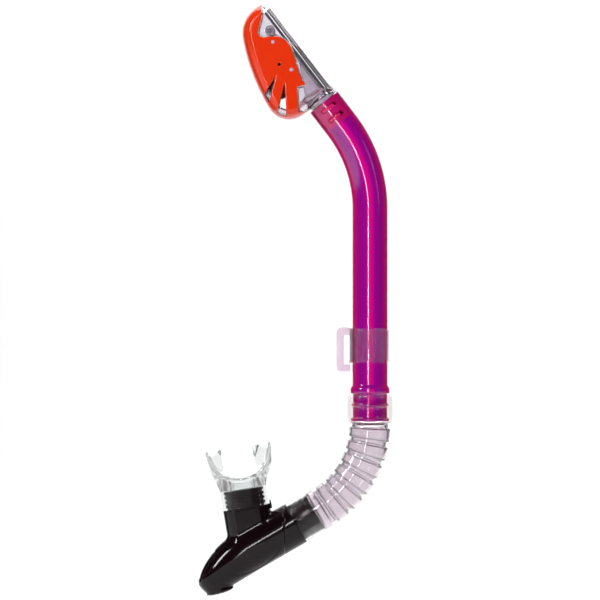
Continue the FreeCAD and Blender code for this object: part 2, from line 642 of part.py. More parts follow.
def cover_region():
    """The cover's share of the head, seen from the side."""
    reach = 60
    points = [Vector(x, 0, z) for x, z in CUT_EDGE]
    spline = Part.BSplineCurve()
    spline.interpolate(points)
    finger = [Vector(x, 0, z) for x, z in FAN_FINGER]
    corners = [points[-1]] + finger + [
        Vector(-BELLY_R, 0, 3.4), Vector(-10.0, 0, 1.7), Vector(-10.0, 0, -5),
        Vector(-reach, 0, -5), Vector(-reach, 0, 95), Vector(6.2, 0, 95), points[0]]
    edges = [spline.toShape()] + [Part.makeLine(a, b) for a, b in zip(corners, corners[1:])]
    face = Part.Face(Part.Wire(edges))
    face.translate(Vector(0, -30, 0))
    return face.extrude(Vector(0, 60, 0))


def fan_slots(rim):
    """The fan's wedge openings, stopping a rim's width inside the outline."""
    wedges = [slab(list(points), 30) for points in FAN_SLOTS]
    inside = Part.Face(head_outline(rim, -30)).extrude(Vector(0, 60, 0))
    return [wedge.common(inside) for wedge in wedges]


def pegs(radius):
    return [cross_rod(radius, x, z, HEAD_HALF_Y + 2) for x, z in PEGS]


def splash_cover(outer, inner, region):
    cover = outer.common(region).cut(inner)
    vent = cross_rod(VENT_R, VENT[0], VENT[1], HEAD_HALF_Y + 2)
    return cover.cut(fan_slots(SLOT_RIM) + pegs(PEG_R + TOUCH) + [vent, rod(PLUG_R + TOUCH, 0, PLUG_TOP + TOUCH)])


def seat_cutter(offset):
    """Everything on the float's side of the valve seat."""
    return placed(block(-80, offset, -40, 40, -90, 120), SEAT_IN_HEAD)


def head_housing(outer, inner, region):
    """Clear shell that carries the cover, the hinge and the valve tube."""
    skin = outer.cut(region).fuse(inner.common(region)).removeSplitter()
    shell = skin.cut(head_form(HEAD_WALL))
    bosses = cross_rod(BOSS_R, HINGE_X, HINGE_Z, HEAD_HALF_Y)
    bosses = bosses.cut(cross_rod(BOSS_R + 1, HINGE_X, HINGE_Z, ARM_HALF_Y + ARM_SIDE_GAP))
    collar = rod(COLLAR_R, TOUCH, FLOOR_Z - HOUSING_WALL).cut(region)
    shell = shell.fuse([bosses.common(skin), collar])
    wedges = fan_slots(HOUSING_SLOT_RIM)
    mouth = slab(list(DRAIN_MOUTH), HEAD_HALF_Y + 1)
    water = Part.Compound(wedges + [mouth]).cut(rod(HEAD_BACK, 0, SEAT_TOP))
    shell = shell.cut([rod(PLUG_R + TOUCH, 0, PLUG_TOP + TOUCH), water,
                       cross_rod(PIN_R + TOUCH, HINGE_X, HINGE_Z, PIN_HALF_Y + TOUCH)])
    return shell.cut(pegs(PEG_R + TOUCH))


def valve_tube():
    """Plug in the barrel with its snap ribs and groove, and the conduit up to the slanted valve seat."""
    conduit = rod(HEAD_BACK, FLOOR_Z + TOUCH, SEAT_TOP + 10).cut(seat_cutter(0))
    conduit = conduit.common(head_form(HEAD_WALL + TOUCH))
    rib_r = BARREL_R - SNAP_SINK
    ribs = [snap_oblong(depth, TOUCH, rib_r).common(rod(rib_r, -PLUG_LENGTH, 0)) for depth in SNAP_DEPTHS]
    body = rod(PLUG_R, -PLUG_LENGTH, PLUG_TOP).fuse([conduit] + ribs)
    groove_half = ORING_R + TOUCH
    groove = tube(PLUG_R + 1, PLUG_R - 2 * ORING_R - TOUCH, -ORING_DEPTH - groove_half, -ORING_DEPTH + groove_half)
    bore = Part.makeCylinder(CONDUIT_BORE_R, SEAT_TOP + 20, Vector(CONDUIT_BORE_X, 0, HEAD_FOOT), Z)
    return body.cut([groove, rod(PLUG_R - PLUG_WALL, -PLUG_LENGTH, FLOOR_Z), bore])


def hinge_pin():
    return cross_rod(PIN_R, HINGE_X, HINGE_Z, PIN_HALF_Y)


def head_oring():
    return Part.makeTorus(PLUG_R - ORING_R, ORING_R, Vector(0, 0, -ORING_DEPTH), Z)


def cover_pegs(outer):
    """Four snap pegs that hold the cover to the housing."""
    skin = outer.cut(head_form(HEAD_WALL))
    return Part.Compound([s for peg in pegs(PEG_R) for s in peg.common(skin).Solids])


def ellipse_plate(half_z, half_y, x0, x1):
    """An elliptical plate across the seat frame's X."""
    curve = Part.Ellipse(Vector(x0, 0, half_z), Vector(x0, half_y, 0), Vector(x0, 0, 0))
    return Part.Face(Part.Wire(curve.toShape())).extrude(Vector(x1 - x0, 0, 0))


def opened(shape):
    """Swing a shape of the seat frame from shut to open, and give it in the head frame."""
    swung = placed(shape, SEAT_IN_HEAD)
    swung.rotate(Vector(HINGE_X, 0, HINGE_Z), Y, FLOAT_OPEN_DEG)
    return swung


SEAL_HALF_Z = CONDUIT_BORE_R / math.sin(math.radians(SEAT_DEG)) + SEAL_LAP_END
SEAL_HALF_Y = CONDUIT_BORE_R + SEAL_LAP_SIDE


def valve_seal():
    lip = ellipse_plate(SEAL_HALF_Z, SEAL_HALF_Y, -SEAL_GAP - SEAL_H, -SEAL_GAP)
    return opened(lip.cut(cross_to_seat(BUTTON_R + 2 * TOUCH, -10, 10)))


def cross_to_seat(radius, x0, x1):
    """A round rod across the seat, along the seat frame's X."""
    return Part.makeCylinder(radius, x1 - x0, Vector(x0, 0, 0), Vector(1, 0, 0))


def seal_button():
    back = -SEAL_GAP - SEAL_H - TOUCH - PLATE_H
    stem = cross_to_seat(BUTTON_R, back, -SEAL_GAP + BUTTON_HEAD_H)
    head = cross_to_seat(2 * BUTTON_R, -SEAL_GAP + TOUCH, -SEAL_GAP + BUTTON_HEAD_H)
    return opened(stem.fuse(head))


def float_arm():
    """Plate behind the seal, and two bars up to the eye round the hinge pin."""
    face = -SEAL_GAP - SEAL_H - TOUCH
    plate = ellipse_plate(SEAL_HALF_Z - PLATE_INSET, SEAL_HALF_Y - PLATE_INSET, face - PLATE_H, face)
    hx, hz = HINGE_IN_SEAT.x, HINGE_IN_SEAT.z
    eye_r = PIN_R + EYE_WALL
    eye = cross_rod(eye_r, hx, hz, ARM_HALF_Y)
    foot_z = SEAL_HALF_Z - PLATE_INSET - 2 * BAR_HALF
    bars = slab([(hx - eye_r, hz), (hx + eye_r, hz), (face, foot_z + BAR_HALF), (face, foot_z - BAR_HALF),
                 (face - PLATE_H, foot_z - BAR_HALF)], ARM_HALF_Y)
    inside = ARM_HALF_Y - ARM_BAR
    bars = bars.cut(block(-60, 60, -inside, inside, -60, 90))
    arm = plate.fuse([eye, bars])
    return opened(arm.cut([cross_rod(PIN_R + PIN_CLEAR, hx, hz, ARM_HALF_Y + 1),
                           cross_to_seat(BUTTON_R + TOUCH, -10, 10)]))


def float_shell():
    """Sealed hollow float: two rounds joined by flanks, crowned at both sides."""
    back = -SEAL_GAP - SEAL_H - TOUCH - PLATE_H - TOUCH
    z0, r0 = FLOAT_FOOT
    z1, r1 = FLOAT_HEAD

    def form(inset):
        low, high = Vector(back - r0, 0, z0), Vector(back - r1, 0, z1)
        along = high - low
        tilt = math.asin((r0 - r1) / along.Length)
        unit = along * (1 / along.Length)
        side = Vector(-unit.z, 0, unit.x)
        left = side * math.cos(tilt) + unit * math.sin(tilt)
        right = side * -math.cos(tilt) + unit * math.sin(tilt)
        ra, rb = r0 - inset, r1 - inset
        wire = Part.Wire([
            Part.makeLine(low + left * ra, high + left * rb),
            Part.Arc(high + left * rb, high + unit * rb, high + right * rb).toShape(),
            Part.makeLine(high + right * rb, low + right * ra),
            Part.Arc(low + right * ra, low - unit * ra, low + left * ra).toShape()])
        half = FLOAT_HALF_Y - inset
        wire.translate(Vector(0, -half, 0))
        body = Part.Face(wire).extrude(Vector(0, 2 * half, 0))
        rims = [e for e in body.Edges if e.BoundBox.YLength < 0.01]
        return body.makeFillet(FLOAT_ROUND - inset / 2, rims)

    return opened(form(0).cut(form(FLOAT_WALL)))


# ---------------------------------------------------------------- all pieces


def main():
    os.makedirs("parts", exist_ok=True)
    outer = head_form(0)
    inner = head_form(COVER_WALL + TOUCH)
    region = cover_region()
    export("barrel", barrel())
    export("keeper_sleeve", keeper_sleeve())
    export("keeper_clip", keeper_clip())
    export("flex_hose", flex_hose())
    export("chamber_connector", chamber_connector())
    export("lower_chamber", lower_chamber())
    export("purge_frame", purge_frame())
    export("purge_disc", purge_disc())
    export("purge_cover", purge_cover())
    export("mouthpiece", mouthpiece())
    export("splash_cover", placed(splash_cover(outer, head_form(COVER_WALL), region), HEAD))
    export("head_housing", placed(head_housing(outer, inner, region), HEAD))
    export("hinge_pin", placed(hinge_pin(), HEAD))
    export("head_oring", placed(head_oring(), HEAD))
    export("cover_pegs", placed(cover_pegs(outer), HEAD))
    export("valve_tube", placed(valve_tube(), HEAD))
    export("valve_seal", placed(valve_seal(), HEAD))
    export("seal_button", placed(seal_button(), HEAD))
    export("float_arm", placed(float_arm(), HEAD))
    export("float_shell", placed(float_shell(), HEAD))


main()
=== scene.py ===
"""Looks of the dry-top snorkel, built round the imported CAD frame.

Lengths in the shape code are millimetres in local frames turned about Y, as the CAD model's are. `put` turns
them into metres in the row frame. Moulded forms are drawn as distance fields and meshed. Turned and swept
forms are meshed ring by ring.
"""
import json
import math

import bmesh
import bpy
import numpy as np
import openvdb
from mathutils import Matrix, Vector


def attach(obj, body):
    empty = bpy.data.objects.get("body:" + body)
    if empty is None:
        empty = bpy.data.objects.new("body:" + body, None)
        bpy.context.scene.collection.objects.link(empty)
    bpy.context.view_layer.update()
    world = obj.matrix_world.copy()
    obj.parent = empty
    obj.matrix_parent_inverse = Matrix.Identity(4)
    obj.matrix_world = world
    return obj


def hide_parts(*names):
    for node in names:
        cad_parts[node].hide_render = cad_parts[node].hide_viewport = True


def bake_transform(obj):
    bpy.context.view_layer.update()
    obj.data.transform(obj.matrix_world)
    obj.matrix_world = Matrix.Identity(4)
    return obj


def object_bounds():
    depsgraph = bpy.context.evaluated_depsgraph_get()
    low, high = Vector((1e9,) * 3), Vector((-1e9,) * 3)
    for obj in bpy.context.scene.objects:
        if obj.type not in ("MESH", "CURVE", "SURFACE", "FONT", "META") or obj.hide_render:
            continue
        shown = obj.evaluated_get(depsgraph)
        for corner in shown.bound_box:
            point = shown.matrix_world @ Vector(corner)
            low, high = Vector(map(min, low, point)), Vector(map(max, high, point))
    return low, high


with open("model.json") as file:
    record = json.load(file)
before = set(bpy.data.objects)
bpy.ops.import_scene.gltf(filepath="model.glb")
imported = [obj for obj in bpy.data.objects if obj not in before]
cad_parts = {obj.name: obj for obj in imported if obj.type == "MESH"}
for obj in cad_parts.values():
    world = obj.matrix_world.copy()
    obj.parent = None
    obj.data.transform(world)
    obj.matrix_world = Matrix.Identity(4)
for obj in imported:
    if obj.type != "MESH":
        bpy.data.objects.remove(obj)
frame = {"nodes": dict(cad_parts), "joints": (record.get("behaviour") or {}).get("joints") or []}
cad_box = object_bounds()
MM = 0.001

# ---------------------------------------------------------------- sizes shared with the CAD model
joint = {j["name"]: j for j in frame["joints"]}
AXIS_X = joint["keeper_swivel"]["pos_m"][0] / MM
CLEAR, TOUCH = 0.15, 0.05
BARREL_R, BARREL_WALL, BARREL_TOP_Z, BARREL_FOOT_Z = 13.3, 2.0, 105.5, -53.6
BEND_R, BEND_DEG, TOP_RUN = 103.5, 37.5, 21.4
FLARE_R, FLARE_TOP_Z, FLARE_FOOT_Z = 14.8, -26.5, -32.9
SPIGOT_NECK_R, SPIGOT_LIP_R, SPIGOT_LIP_H = 12.9, 14.4, 2.3
SNAP_LENGTH, SNAP_WIDTH, SNAP_DEPTHS, SNAP_SINK = 13.5, 3.5, (5.7, 14.4), 0.35
SLEEVE_IN, SLEEVE_OUT, SLEEVE_RIM = 13.45, 14.35, 16.2
SLEEVE_FOOT_Z, SLEEVE_TOP_Z, RIM_H = -9.8, 16.0, 0.9
RING_R, SLOT_GAP, SLOT_HALF, BAR_WIDTH, HOOK_DEPTH, ARM_H = 15.5, 4.3, 11.0, 5.4, 9.0, 5.8
RING_WALL, HOOK_CORNER, HOOK_ROOT, RIM_ROOM = 1.0, 4.2, 10, 0.3
HOSE_TOP_Z, HOSE_BEND_R, SWEEP_DEG, HOSE_BORE_R = -55.2, 74.0, 60.0, 10.4
VALLEY_R, RIB_R, CUFF_R, CUFF_TOP_Z, LOWER_CUFF_R, LOWER_BEAD_R = 13.7, 15.5, 17.3, -33.2, 16.3, 17.1
CUFF_START = HOSE_TOP_Z - CUFF_TOP_Z    # the upper cuff's end as a distance along the hose, so negative
RIB_COUNT, FIRST_RIB_DEG, RIB_PITCH_DEG = 6, 5.9, 9.3
RIB_FOOT_DEG, RIB_TOP_DEG, HOLLOW_FOOT_DEG, HOLLOW_TOP_DEG = 3.45, 3.25, 3.0, 2.6
HOLLOW_R, WAIST_R, LOWER_CUFF_BORE_R = 13.5, 11.9, 14.4
CHAMBER_R, SPIGOT_R, SPIGOT_TOP, CHAMBER_BORE_R, CUFF_END = 16.5, 14.2, 4.4, 11.4, 20.8
COLLAR_START, SPIGOT_RINGS, SPIGOT_RING_H = 21.1, (8.2, 12.4, 16.6), 0.55
NOSE_START, NOSE_END, NOSE_DROP, NOSE_SAG = 62.0, 108.0, 6.0, 0.8
LENS_Z, LENS_X, LENS_HALF_Z, LENS_HALF_X, LENS_DEPTH = 61, -7.2, 21.5, 8.0, 0.45
GRIP_Z, GRIP_X, GRIP_R, GRIP_DEPTH = 103, 20, 20.0, 0.5
NECK_AT, NECK_TURN, SHOULDER, NECK_X, NECK_Y = 58.7, 110.6, 30.9, 17.6, 12.0
POST_X, POST_Y, POST_LENGTH, POST_WALL = 14.6, 9.6, 14.4, 2
POST_RING_PITCH, POST_RING_AT, POST_RING_H = 3.35, 1.2, 1.3
PURGE_AT, PURGE_OUT, PURGE_TILT, BOSS_R, BOSS_TOP, POCKET_R, SEAT_Z = 96.6, 17.9, 14.0, 10.4, 1.6, 9.0, 9.6
PURGE_BORE_R = 7.0
ARCH_R, ARCH_AT, ARCH_OFF, FLANGE_T, FLANGE_Y = 22.4, 44.6, 1.3, 2.2, 14.0
MOUTH_X, MOUTH_Y, MOUTH_FLARE_X, MOUTH_FLARE_Y, MOUTH_BORE_X, MOUTH_BORE_Y = 17.6, 12.2, 6.2, 0.9, 12.4, 7.4
WEB_AT, WEB_HALF, BULB_AT, BULB_HALF = 17.4, (6.5, 1.6, 7.0), 10.9, (2.5, 3.8, 7.2)
FLARE_MIDDLE, FLARE_LENGTH, TIP_RISE, TAB_TURN_DEG, GRIP_RIBS_X = 23.5, 21, 1.6, 26, (9.5, 16.0)
COVER_WALL, HOUSING_WALL, HEAD_HALF_Y, HEAD_EDGE = 1.4, 1.6, 19.0, 7.2
HEAD_BACK, HEAD_FOOT = 12.2, 1.6
CROWN, BELLY, FLANK_R, TIP_R = (1.5, 63.5, 24.0), (-18.3, 19.3, 17.3), 150.0, 4.5
PEGS, VENT, PEG_R, VENT_R = ((-3.7, 58.4), (-5.3, 33.7)), (-9.9, 42.1), 1.3, 1.2
HINGE, HINGE_R, HINGE_BOSS_R = (0.3, 66.4), 1.2, 3.2
SEAT_FOOT, SEAT_TOP = 8.0, 43.0
PLUG_R, PLUG_LENGTH, PLUG_WALL, HEAD_WALL = 11.25, 19.6, 1.9, 3.05
ORING_DEPTH, ORING_R, ORING_DOWN = 0.8, 0.85, 18
PIN_REACH, BOSS_IN_Y, FLANK_FROM_Y = 15.05, 7.9, 9
FLOOR_Z = HEAD_FOOT + HEAD_WALL
PLUG_TOP = FLOOR_Z + HOUSING_WALL
COLLAR_R, CONDUIT_BORE_R, CONDUIT_BORE_X = 13.1, 9.2, -1.6
SEAM_AT, SEAM_TILT = 31.4, 28.9

# ---------------------------------------------------------------- frames


def turned(x, z, degrees):
    return Matrix.Translation((x, 0, z)) @ Matrix.Rotation(math.radians(degrees), 4, "Y")


BEND, SWEEP = math.radians(BEND_DEG), math.radians(SWEEP_DEG)
BARREL = Matrix.Identity(4)
HEAD = turned(-BEND_R * (1 - math.cos(BEND)) - TOP_RUN * math.sin(BEND),
              BARREL_TOP_Z + BEND_R * math.sin(BEND) + TOP_RUN * math.cos(BEND), -BEND_DEG)
CHAMBER = turned(-HOSE_BEND_R * (1 - math.cos(SWEEP)), HOSE_TOP_Z - HOSE_BEND_R * math.sin(SWEEP),
                 SWEEP_DEG - 180)
NECK_IN_CHAMBER = turned(0, NECK_AT, NECK_TURN)
NECK = CHAMBER @ NECK_IN_CHAMBER
MOUTH = NECK @ Matrix.Translation((0, 0, SHOULDER))
SEAM = turned(0, SEAM_AT, SEAM_TILT)
TO_ROW = Matrix.Scale(MM, 4) @ Matrix.Translation((AXIS_X, 0, 0))


def turn_outward(mesh):
    builder = bmesh.new()
    builder.from_mesh(mesh)
    bmesh.ops.recalc_face_normals(builder, faces=builder.faces)
    builder.to_mesh(mesh)
    builder.free()


def put(name, points, faces, local, body, material, nodes, smooth_angle=None):
    """Make a mesh object from local points, place it in the row frame, parent it to its body's empty when one
    is given and hide the CAD nodes it replaces.
    """
    mesh = bpy.data.meshes.new(name)
    mesh.from_pydata([tuple(p) for p in points], [], [tuple(f) for f in faces])
    mesh.transform(TO_ROW @ local)
    turn_outward(mesh)
    mesh.shade_smooth()
    if smooth_angle is not None:
        mesh.set_sharp_from_angle(angle=math.radians(smooth_angle))
    piece = bpy.data.objects.new(name, mesh)
    bpy.context.scene.collection.objects.link(piece)
    mesh.materials.append(material)
    if body:
        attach(piece, body)
    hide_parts(*nodes)
    return piece


# ---------------------------------------------------------------- distance fields


def grid(low, high, step):
    axes = [np.arange(a, b + step, step, dtype=np.float32) for a, b in zip(low, high)]
    return np.meshgrid(*axes, indexing="ij"), (low, step)


def field_mesh(field, where):
    """Quads of a field's zero surface, in local millimetres."""
    low, step = where
    volume = openvdb.FloatGrid(background=10.0)
    volume.copyFromArray(np.ascontiguousarray(field.astype(np.float32)))
    points, quads = volume.convertToQuads(isovalue=0.0)
    return points * step + np.array(low), quads


def join(a, b, k):
    """Smooth union."""
    h = np.clip(0.5 + 0.5 * (b - a) / k, 0, 1)
    return b + (a - b) * h - k * h * (1 - h)


def carve(a, b, k=0.2):
    """Take b out of a, with a small round along the edge."""
    return -join(-a, b, k)


def keep(a, b, k=0.2):
    return -join(-a, -b, k)


def prism(flat_distance, along, low, high):
    return np.maximum(flat_distance, np.maximum(low - along, along - high))


def round_rod(x, y, z, radius, low, high):
    return prism(np.hypot(x, y) - radius, z, low, high)


def racetrack(x, y, half_x, half_y):
    flat = half_x - half_y
    return np.hypot(np.maximum(np.abs(x) - flat, 0), y) - half_y


def brick(x, y, z, centre, half, rounding=0.0):
    q = [np.abs(v - c) - h + rounding for v, c, h in zip((x, y, z), centre, half)]
    outside = np.sqrt(sum(np.maximum(v, 0) ** 2 for v in q))
    return outside + np.minimum(np.maximum(np.maximum(q[0], q[1]), q[2]), 0) - rounding


def into(local, x, y, z):
    """Grid coordinates seen from a frame turned about Y inside the grid's frame."""
    back = local.inverted()
    return (back[0][0] * x + back[0][2] * z + back[0][3], y, back[2][0] * x + back[2][2] * z + back[2][3])


def step_up(value, width):
    t = np.clip(value / width + 0.5, 0, 1)
    return t * t * (3 - 2 * t)


def outline_distance(points, x, z):
    """Signed distance from an (x, z) grid to a closed polyline, negative inside."""
    best = np.full(x.shape, 1e9, np.float32)
    inside = np.zeros(x.shape, bool)
    for (ax, az), (bx, bz) in zip(points, points[1:] + points[:1]):
        dx, dz = bx - ax, bz - az
        length2 = dx * dx + dz * dz
        if length2 < 1e-9:
            continue
        t = np.clip(((x - ax) * dx + (z - az) * dz) / length2, 0, 1)
        best = np.minimum(best, np.hypot(x - ax - t * dx, z - az - t * dz))
        if abs(dz) > 1e-9:
            crosses = ((az > z) != (bz > z)) & (x < dx * (z - az) / dz + ax)
            inside ^= crosses
    return np.where(inside, -best, best)


# ---------------------------------------------------------------- materials


def material(name, color, **values):
    """A Principled material, and its node tree."""
    made = bpy.data.materials.new(name)
    made.use_nodes = True
    shader = made.node_tree.nodes["Principled BSDF"]
    shader.inputs["Base Color"].default_value = (*color, 1)
    for socket, value in values.items():
        shader.inputs[socket.replace("_", " ")].default_value = value
    return made, made.node_tree, shader


def noise(tree, scale, detail=3.0):
    place = tree.nodes.new("ShaderNodeTexCoord")
    texture = tree.nodes.new("ShaderNodeTexNoise")
    texture.inputs["Scale"].default_value = scale
    texture.inputs["Detail"].default_value = detail
    tree.links.new(place.outputs["Object"], texture.inputs["Vector"])
    return texture.outputs["Fac"]


def spread(tree, source, low, high):
    ramp = tree.nodes.new("ShaderNodeMapRange")
    ramp.inputs["To Min"].default_value = low
    ramp.inputs["To Max"].default_value = high
    tree.links.new(source, ramp.inputs["Value"])
    return ramp.outputs["Result"]


def mix_colors(tree, factor, first, second):
    mixer = tree.nodes.new("ShaderNodeMix")
    mixer.data_type = "RGBA"
    mixer.inputs["A"].default_value = (*first, 1)
    mixer.inputs["B"].default_value = (*second, 1)
    tree.links.new(factor, mixer.inputs["Factor"])
    return mixer.outputs["Result"]


def bump(tree, shader, height, strength, distance):
    node = tree.nodes.new("ShaderNodeBump")
    node.inputs["Strength"].default_value = strength
    node.inputs["Distance"].default_value = distance
    tree.links.new(height, node.inputs["Height"])
    tree.links.new(node.outputs["Normal"], shader.inputs["Normal"])


TINT_SCALE, WAVE_SCALE, SCUFF_SCALE, WAVE_STRENGTH, WAVE_M = 30.0, 90.0, 420.0, 0.35, 0.00006


def moulded(name, first, second, rough, bump_distance=WAVE_M, **values):
    """Moulded plastic or silicone: faint colour drift, faint mould waves, fine scuffs in the gloss."""
    made, tree, shader = material(name, first, **values)
    drift = noise(tree, TINT_SCALE)
    tree.links.new(mix_colors(tree, drift, first, second), shader.inputs["Base Color"])
    tree.links.new(spread(tree, noise(tree, SCUFF_SCALE, 5.0), *rough), shader.inputs["Roughness"])
    bump(tree, shader, noise(tree, WAVE_SCALE), WAVE_STRENGTH, bump_distance)
    return made


def beyond_plane(tree, frame_at, direction, distance, width=0.0006):
    """0 before a plane and 1 past it; the plane lies at a distance along a direction of a local frame."""
    place = tree.nodes.new("ShaderNodeTexCoord")
    dot = tree.nodes.new("ShaderNodeVectorMath")
    dot.operation = "DOT_PRODUCT"
    way = (frame_at.to_3x3() @ Vector(direction)).normalized()
    dot.inputs[1].default_value = way
    tree.links.new(place.outputs["Object"], dot.inputs[0])
    edge = way.dot(TO_ROW @ frame_at @ (Vector(direction) * distance))
    band = tree.nodes.new("ShaderNodeMapRange")
    band.inputs["From Min"].default_value = edge - width / 2
    band.inputs["From Max"].default_value = edge + width / 2
    tree.links.new(dot.outputs["Value"], band.inputs["Value"])
    return band.outputs["Result"]


def calculate(tree, operation, first, second):
    node = tree.nodes.new("ShaderNodeMath")
    node.operation = operation
    for socket, value in zip(node.inputs, (first, second)):
        if isinstance(value, float):
            socket.default_value = value
        else:
            tree.links.new(value, socket)
    return node.outputs[0]


def color_stops(tree, factor, stops):
    ramp = tree.nodes.new("ShaderNodeValToRGB")
    elements = ramp.color_ramp.elements
    while len(elements) < len(stops):
        elements.new(0.5)
    for element, (position, color) in zip(elements, stops):
        element.position, element.color = position, (*color, 1)
    tree.links.new(factor, ramp.inputs["Fac"])
    return ramp.outputs["Color"]


def barrel_material():
    """Fuchsia plastic with painted shade: crimson where it turns away, violet where it faces front or back, a
    painted highlight where it faces straight on, darker over the plug.
    """
    made, tree, shader = material("magenta_plastic_painted_shade", (0.5, 0.0, 0.3), IOR=1.49)
    shader.inputs["Transmission Weight"].default_value = 0.12
    shader.inputs["Coat Weight"].default_value = 0.25
    shader.inputs["Coat Roughness"].default_value = 0.03
    place = tree.nodes.new("ShaderNodeTexCoord")
    split = tree.nodes.new("ShaderNodeSeparateXYZ")
    tree.links.new(place.outputs["Normal"], split.inputs["Vector"])
    facing_for_painted_shade = tree.nodes.new("ShaderNodeMath")
    facing_for_painted_shade.operation = "ABSOLUTE"
    tree.links.new(split.outputs["Y"], facing_for_painted_shade.inputs[0])
    # Painted shade and highlight: the colour follows how squarely the surface faces front or back, dark
    # crimson at the outline, violet nearer the middle, bright pink where it faces straight on.
    painted_shade_below = color_stops(tree, facing_for_painted_shade.outputs[0], (
        (0.0, (0.30, 0.0, 0.04)), (0.3, (0.50, 0.0, 0.08)), (0.62, (0.34, 0.0, 0.13)),
        (0.86, (0.22, 0.0, 0.19)), (0.97, (0.27, 0.0, 0.20)), (1.0, (0.55, 0.0, 0.20))))
    # Painted shade where the clear plug sits inside the tube: darker colours there.
    painted_shade_above = color_stops(tree, facing_for_painted_shade.outputs[0], (
        (0.0, (0.22, 0.0, 0.05)), (0.5, (0.34, 0.0, 0.08)), (1.0, (0.42, 0.004, 0.11))))
    plug_shade_mask = beyond_plane(tree, HEAD, (0, 0, 1), -PLUG_LENGTH, 0.0003)
    both = tree.nodes.new("ShaderNodeMix")
    both.data_type = "RGBA"
    tree.links.new(plug_shade_mask, both.inputs["Factor"])
    tree.links.new(painted_shade_below, both.inputs["A"])
    tree.links.new(painted_shade_above, both.inputs["B"])
    tree.links.new(both.outputs["Result"], shader.inputs["Base Color"])
    tree.links.new(spread(tree, noise(tree, 380.0, 5.0), 0.04, 0.13), shader.inputs["Roughness"])
    bump(tree, shader, noise(tree, 70.0), 0.3, WAVE_M)
    return made


def set_alpha(made, factor, before, after):
    tree = made.node_tree
    tree.links.new(spread(tree, factor, before, after), tree.nodes["Principled BSDF"].inputs["Alpha"])


def keeper_material():
    """Clear plastic, fainter where it lies over the barrel."""
    made = moulded("keeper_plastic", (0.78, 0.60, 0.72), (0.70, 0.52, 0.66), (0.02, 0.06), 0.0003, IOR=1.5,
                   Transmission_Weight=0.85)
    set_alpha(made, beyond_plane(made.node_tree, BARREL, (1, 0, 0), -BARREL_R), 0.9, 0.12)
    return made


def hose_material():
    """Clear silicone, fainter in the cuffs where it lies over the barrel and the chamber's spigot."""
    made = moulded("hose_silicone", (0.80, 0.74, 0.78), (0.72, 0.66, 0.71), (0.01, 0.05), 0.00025, IOR=1.5,
                   Transmission_Weight=1.0)
    tree = made.node_tree
    upper = beyond_plane(tree, BARREL, (0, 0, 1), HOSE_TOP_Z + 1)
    lower = beyond_plane(tree, CHAMBER, (0, 0, 1), SPIGOT_TOP)
    set_alpha(made, calculate(tree, "MAXIMUM", upper, lower), 1.0, 0.2)
    return made


def valve_material():
    """Clear plastic; the plug inside the barrel is painted the barrel's pink, a painted tint for light that
    comes through the magenta wall.
    """
    made, tree, shader = material("valve_plastic_painted_light", (0.78, 0.74, 0.79), IOR=1.49, Transmission_Weight=1.0)
    # Painted light: pink where the plug sits inside the barrel, clear from the head's foot on.
    out = beyond_plane(tree, HEAD, (0, 0, 1), 0.0)
    tree.links.new(mix_colors(tree, out, (0.86, 0.10, 0.36), (0.78, 0.74, 0.79)), shader.inputs["Base Color"])
    tree.links.new(spread(tree, noise(tree, SCUFF_SCALE, 5.0), 0.02, 0.09), shader.inputs["Roughness"])
    bump(tree, shader, noise(tree, WAVE_SCALE), WAVE_STRENGTH, WAVE_M)
    return made


def mouth_material():
    """Clear silicone, fainter where it is stretched over the chamber's post."""
    made = moulded("mouth_silicone", (0.74, 0.82, 0.77), (0.78, 0.72, 0.77), (0.02, 0.07), 0.00025, IOR=1.5,
                   Transmission_Weight=1.0)
    set_alpha(made, beyond_plane(made.node_tree, MOUTH, (0, 0, 1), POST_LENGTH), 0.15, 0.9)
    return made


CLEAR_PLASTIC = moulded("clear_plastic", (0.86, 0.82, 0.86), (0.80, 0.76, 0.81), (0.02, 0.07), IOR=1.49,
                        Transmission_Weight=1.0)
KEEPER_PLASTIC = keeper_material()
HOSE_SILICONE = hose_material()
VALVE_PLASTIC = valve_material()
MOUTH_SILICONE = mouth_material()
COVER_PLASTIC = moulded("cover_plastic", (0.60, 0.026, 0.001), (0.54, 0.021, 0.001), (0.08, 0.15), IOR=1.46)
CHAMBER_PLASTIC = moulded("chamber_plastic", (0.0045, 0.0010, 0.0020), (0.003, 0.0008, 0.0015), (0.07, 0.13),
                          IOR=1.33)
SEAL_RUBBER = moulded("seal_rubber", (0.11, 0.012, 0.02), (0.07, 0.01, 0.015), (0.4, 0.6))
ARM_PLASTIC = moulded("arm_plastic", (0.66, 0.56, 0.64), (0.58, 0.50, 0.57), (0.08, 0.2), IOR=1.46,
                      Transmission_Weight=0.7)
FLOAT_PLASTIC = moulded("float_plastic", (0.035, 0.022, 0.026), (0.02, 0.014, 0.018), (0.3, 0.45))
PIN_STEEL = moulded("pin_steel", (0.35, 0.34, 0.36), (0.25, 0.24, 0.26), (0.25, 0.4), Metallic=1.0)
PEG_PLASTIC = moulded("peg_plastic", (0.42, 0.33, 0.42), (0.32, 0.25, 0.34), (0.15, 0.3))
DISC_SILICONE = moulded("disc_silicone", (0.6, 0.55, 0.6), (0.5, 0.46, 0.5), (0.2, 0.35))
BARREL_PLASTIC = barrel_material()

# ---------------------------------------------------------------- turned and swept pieces


def rings_to_mesh(rings):
    """Quads between successive rings of equal length, the last joined to the first."""
    count = len(rings[0])
    points = [p for ring in rings for p in ring]
    faces = []
    for i in range(len(rings)):
        j = (i + 1) % len(rings)
        for k in range(count):
            m = (k + 1) % count
            faces.append((i * count + k, i * count + m, j * count + m, j * count + k))
    return points, faces


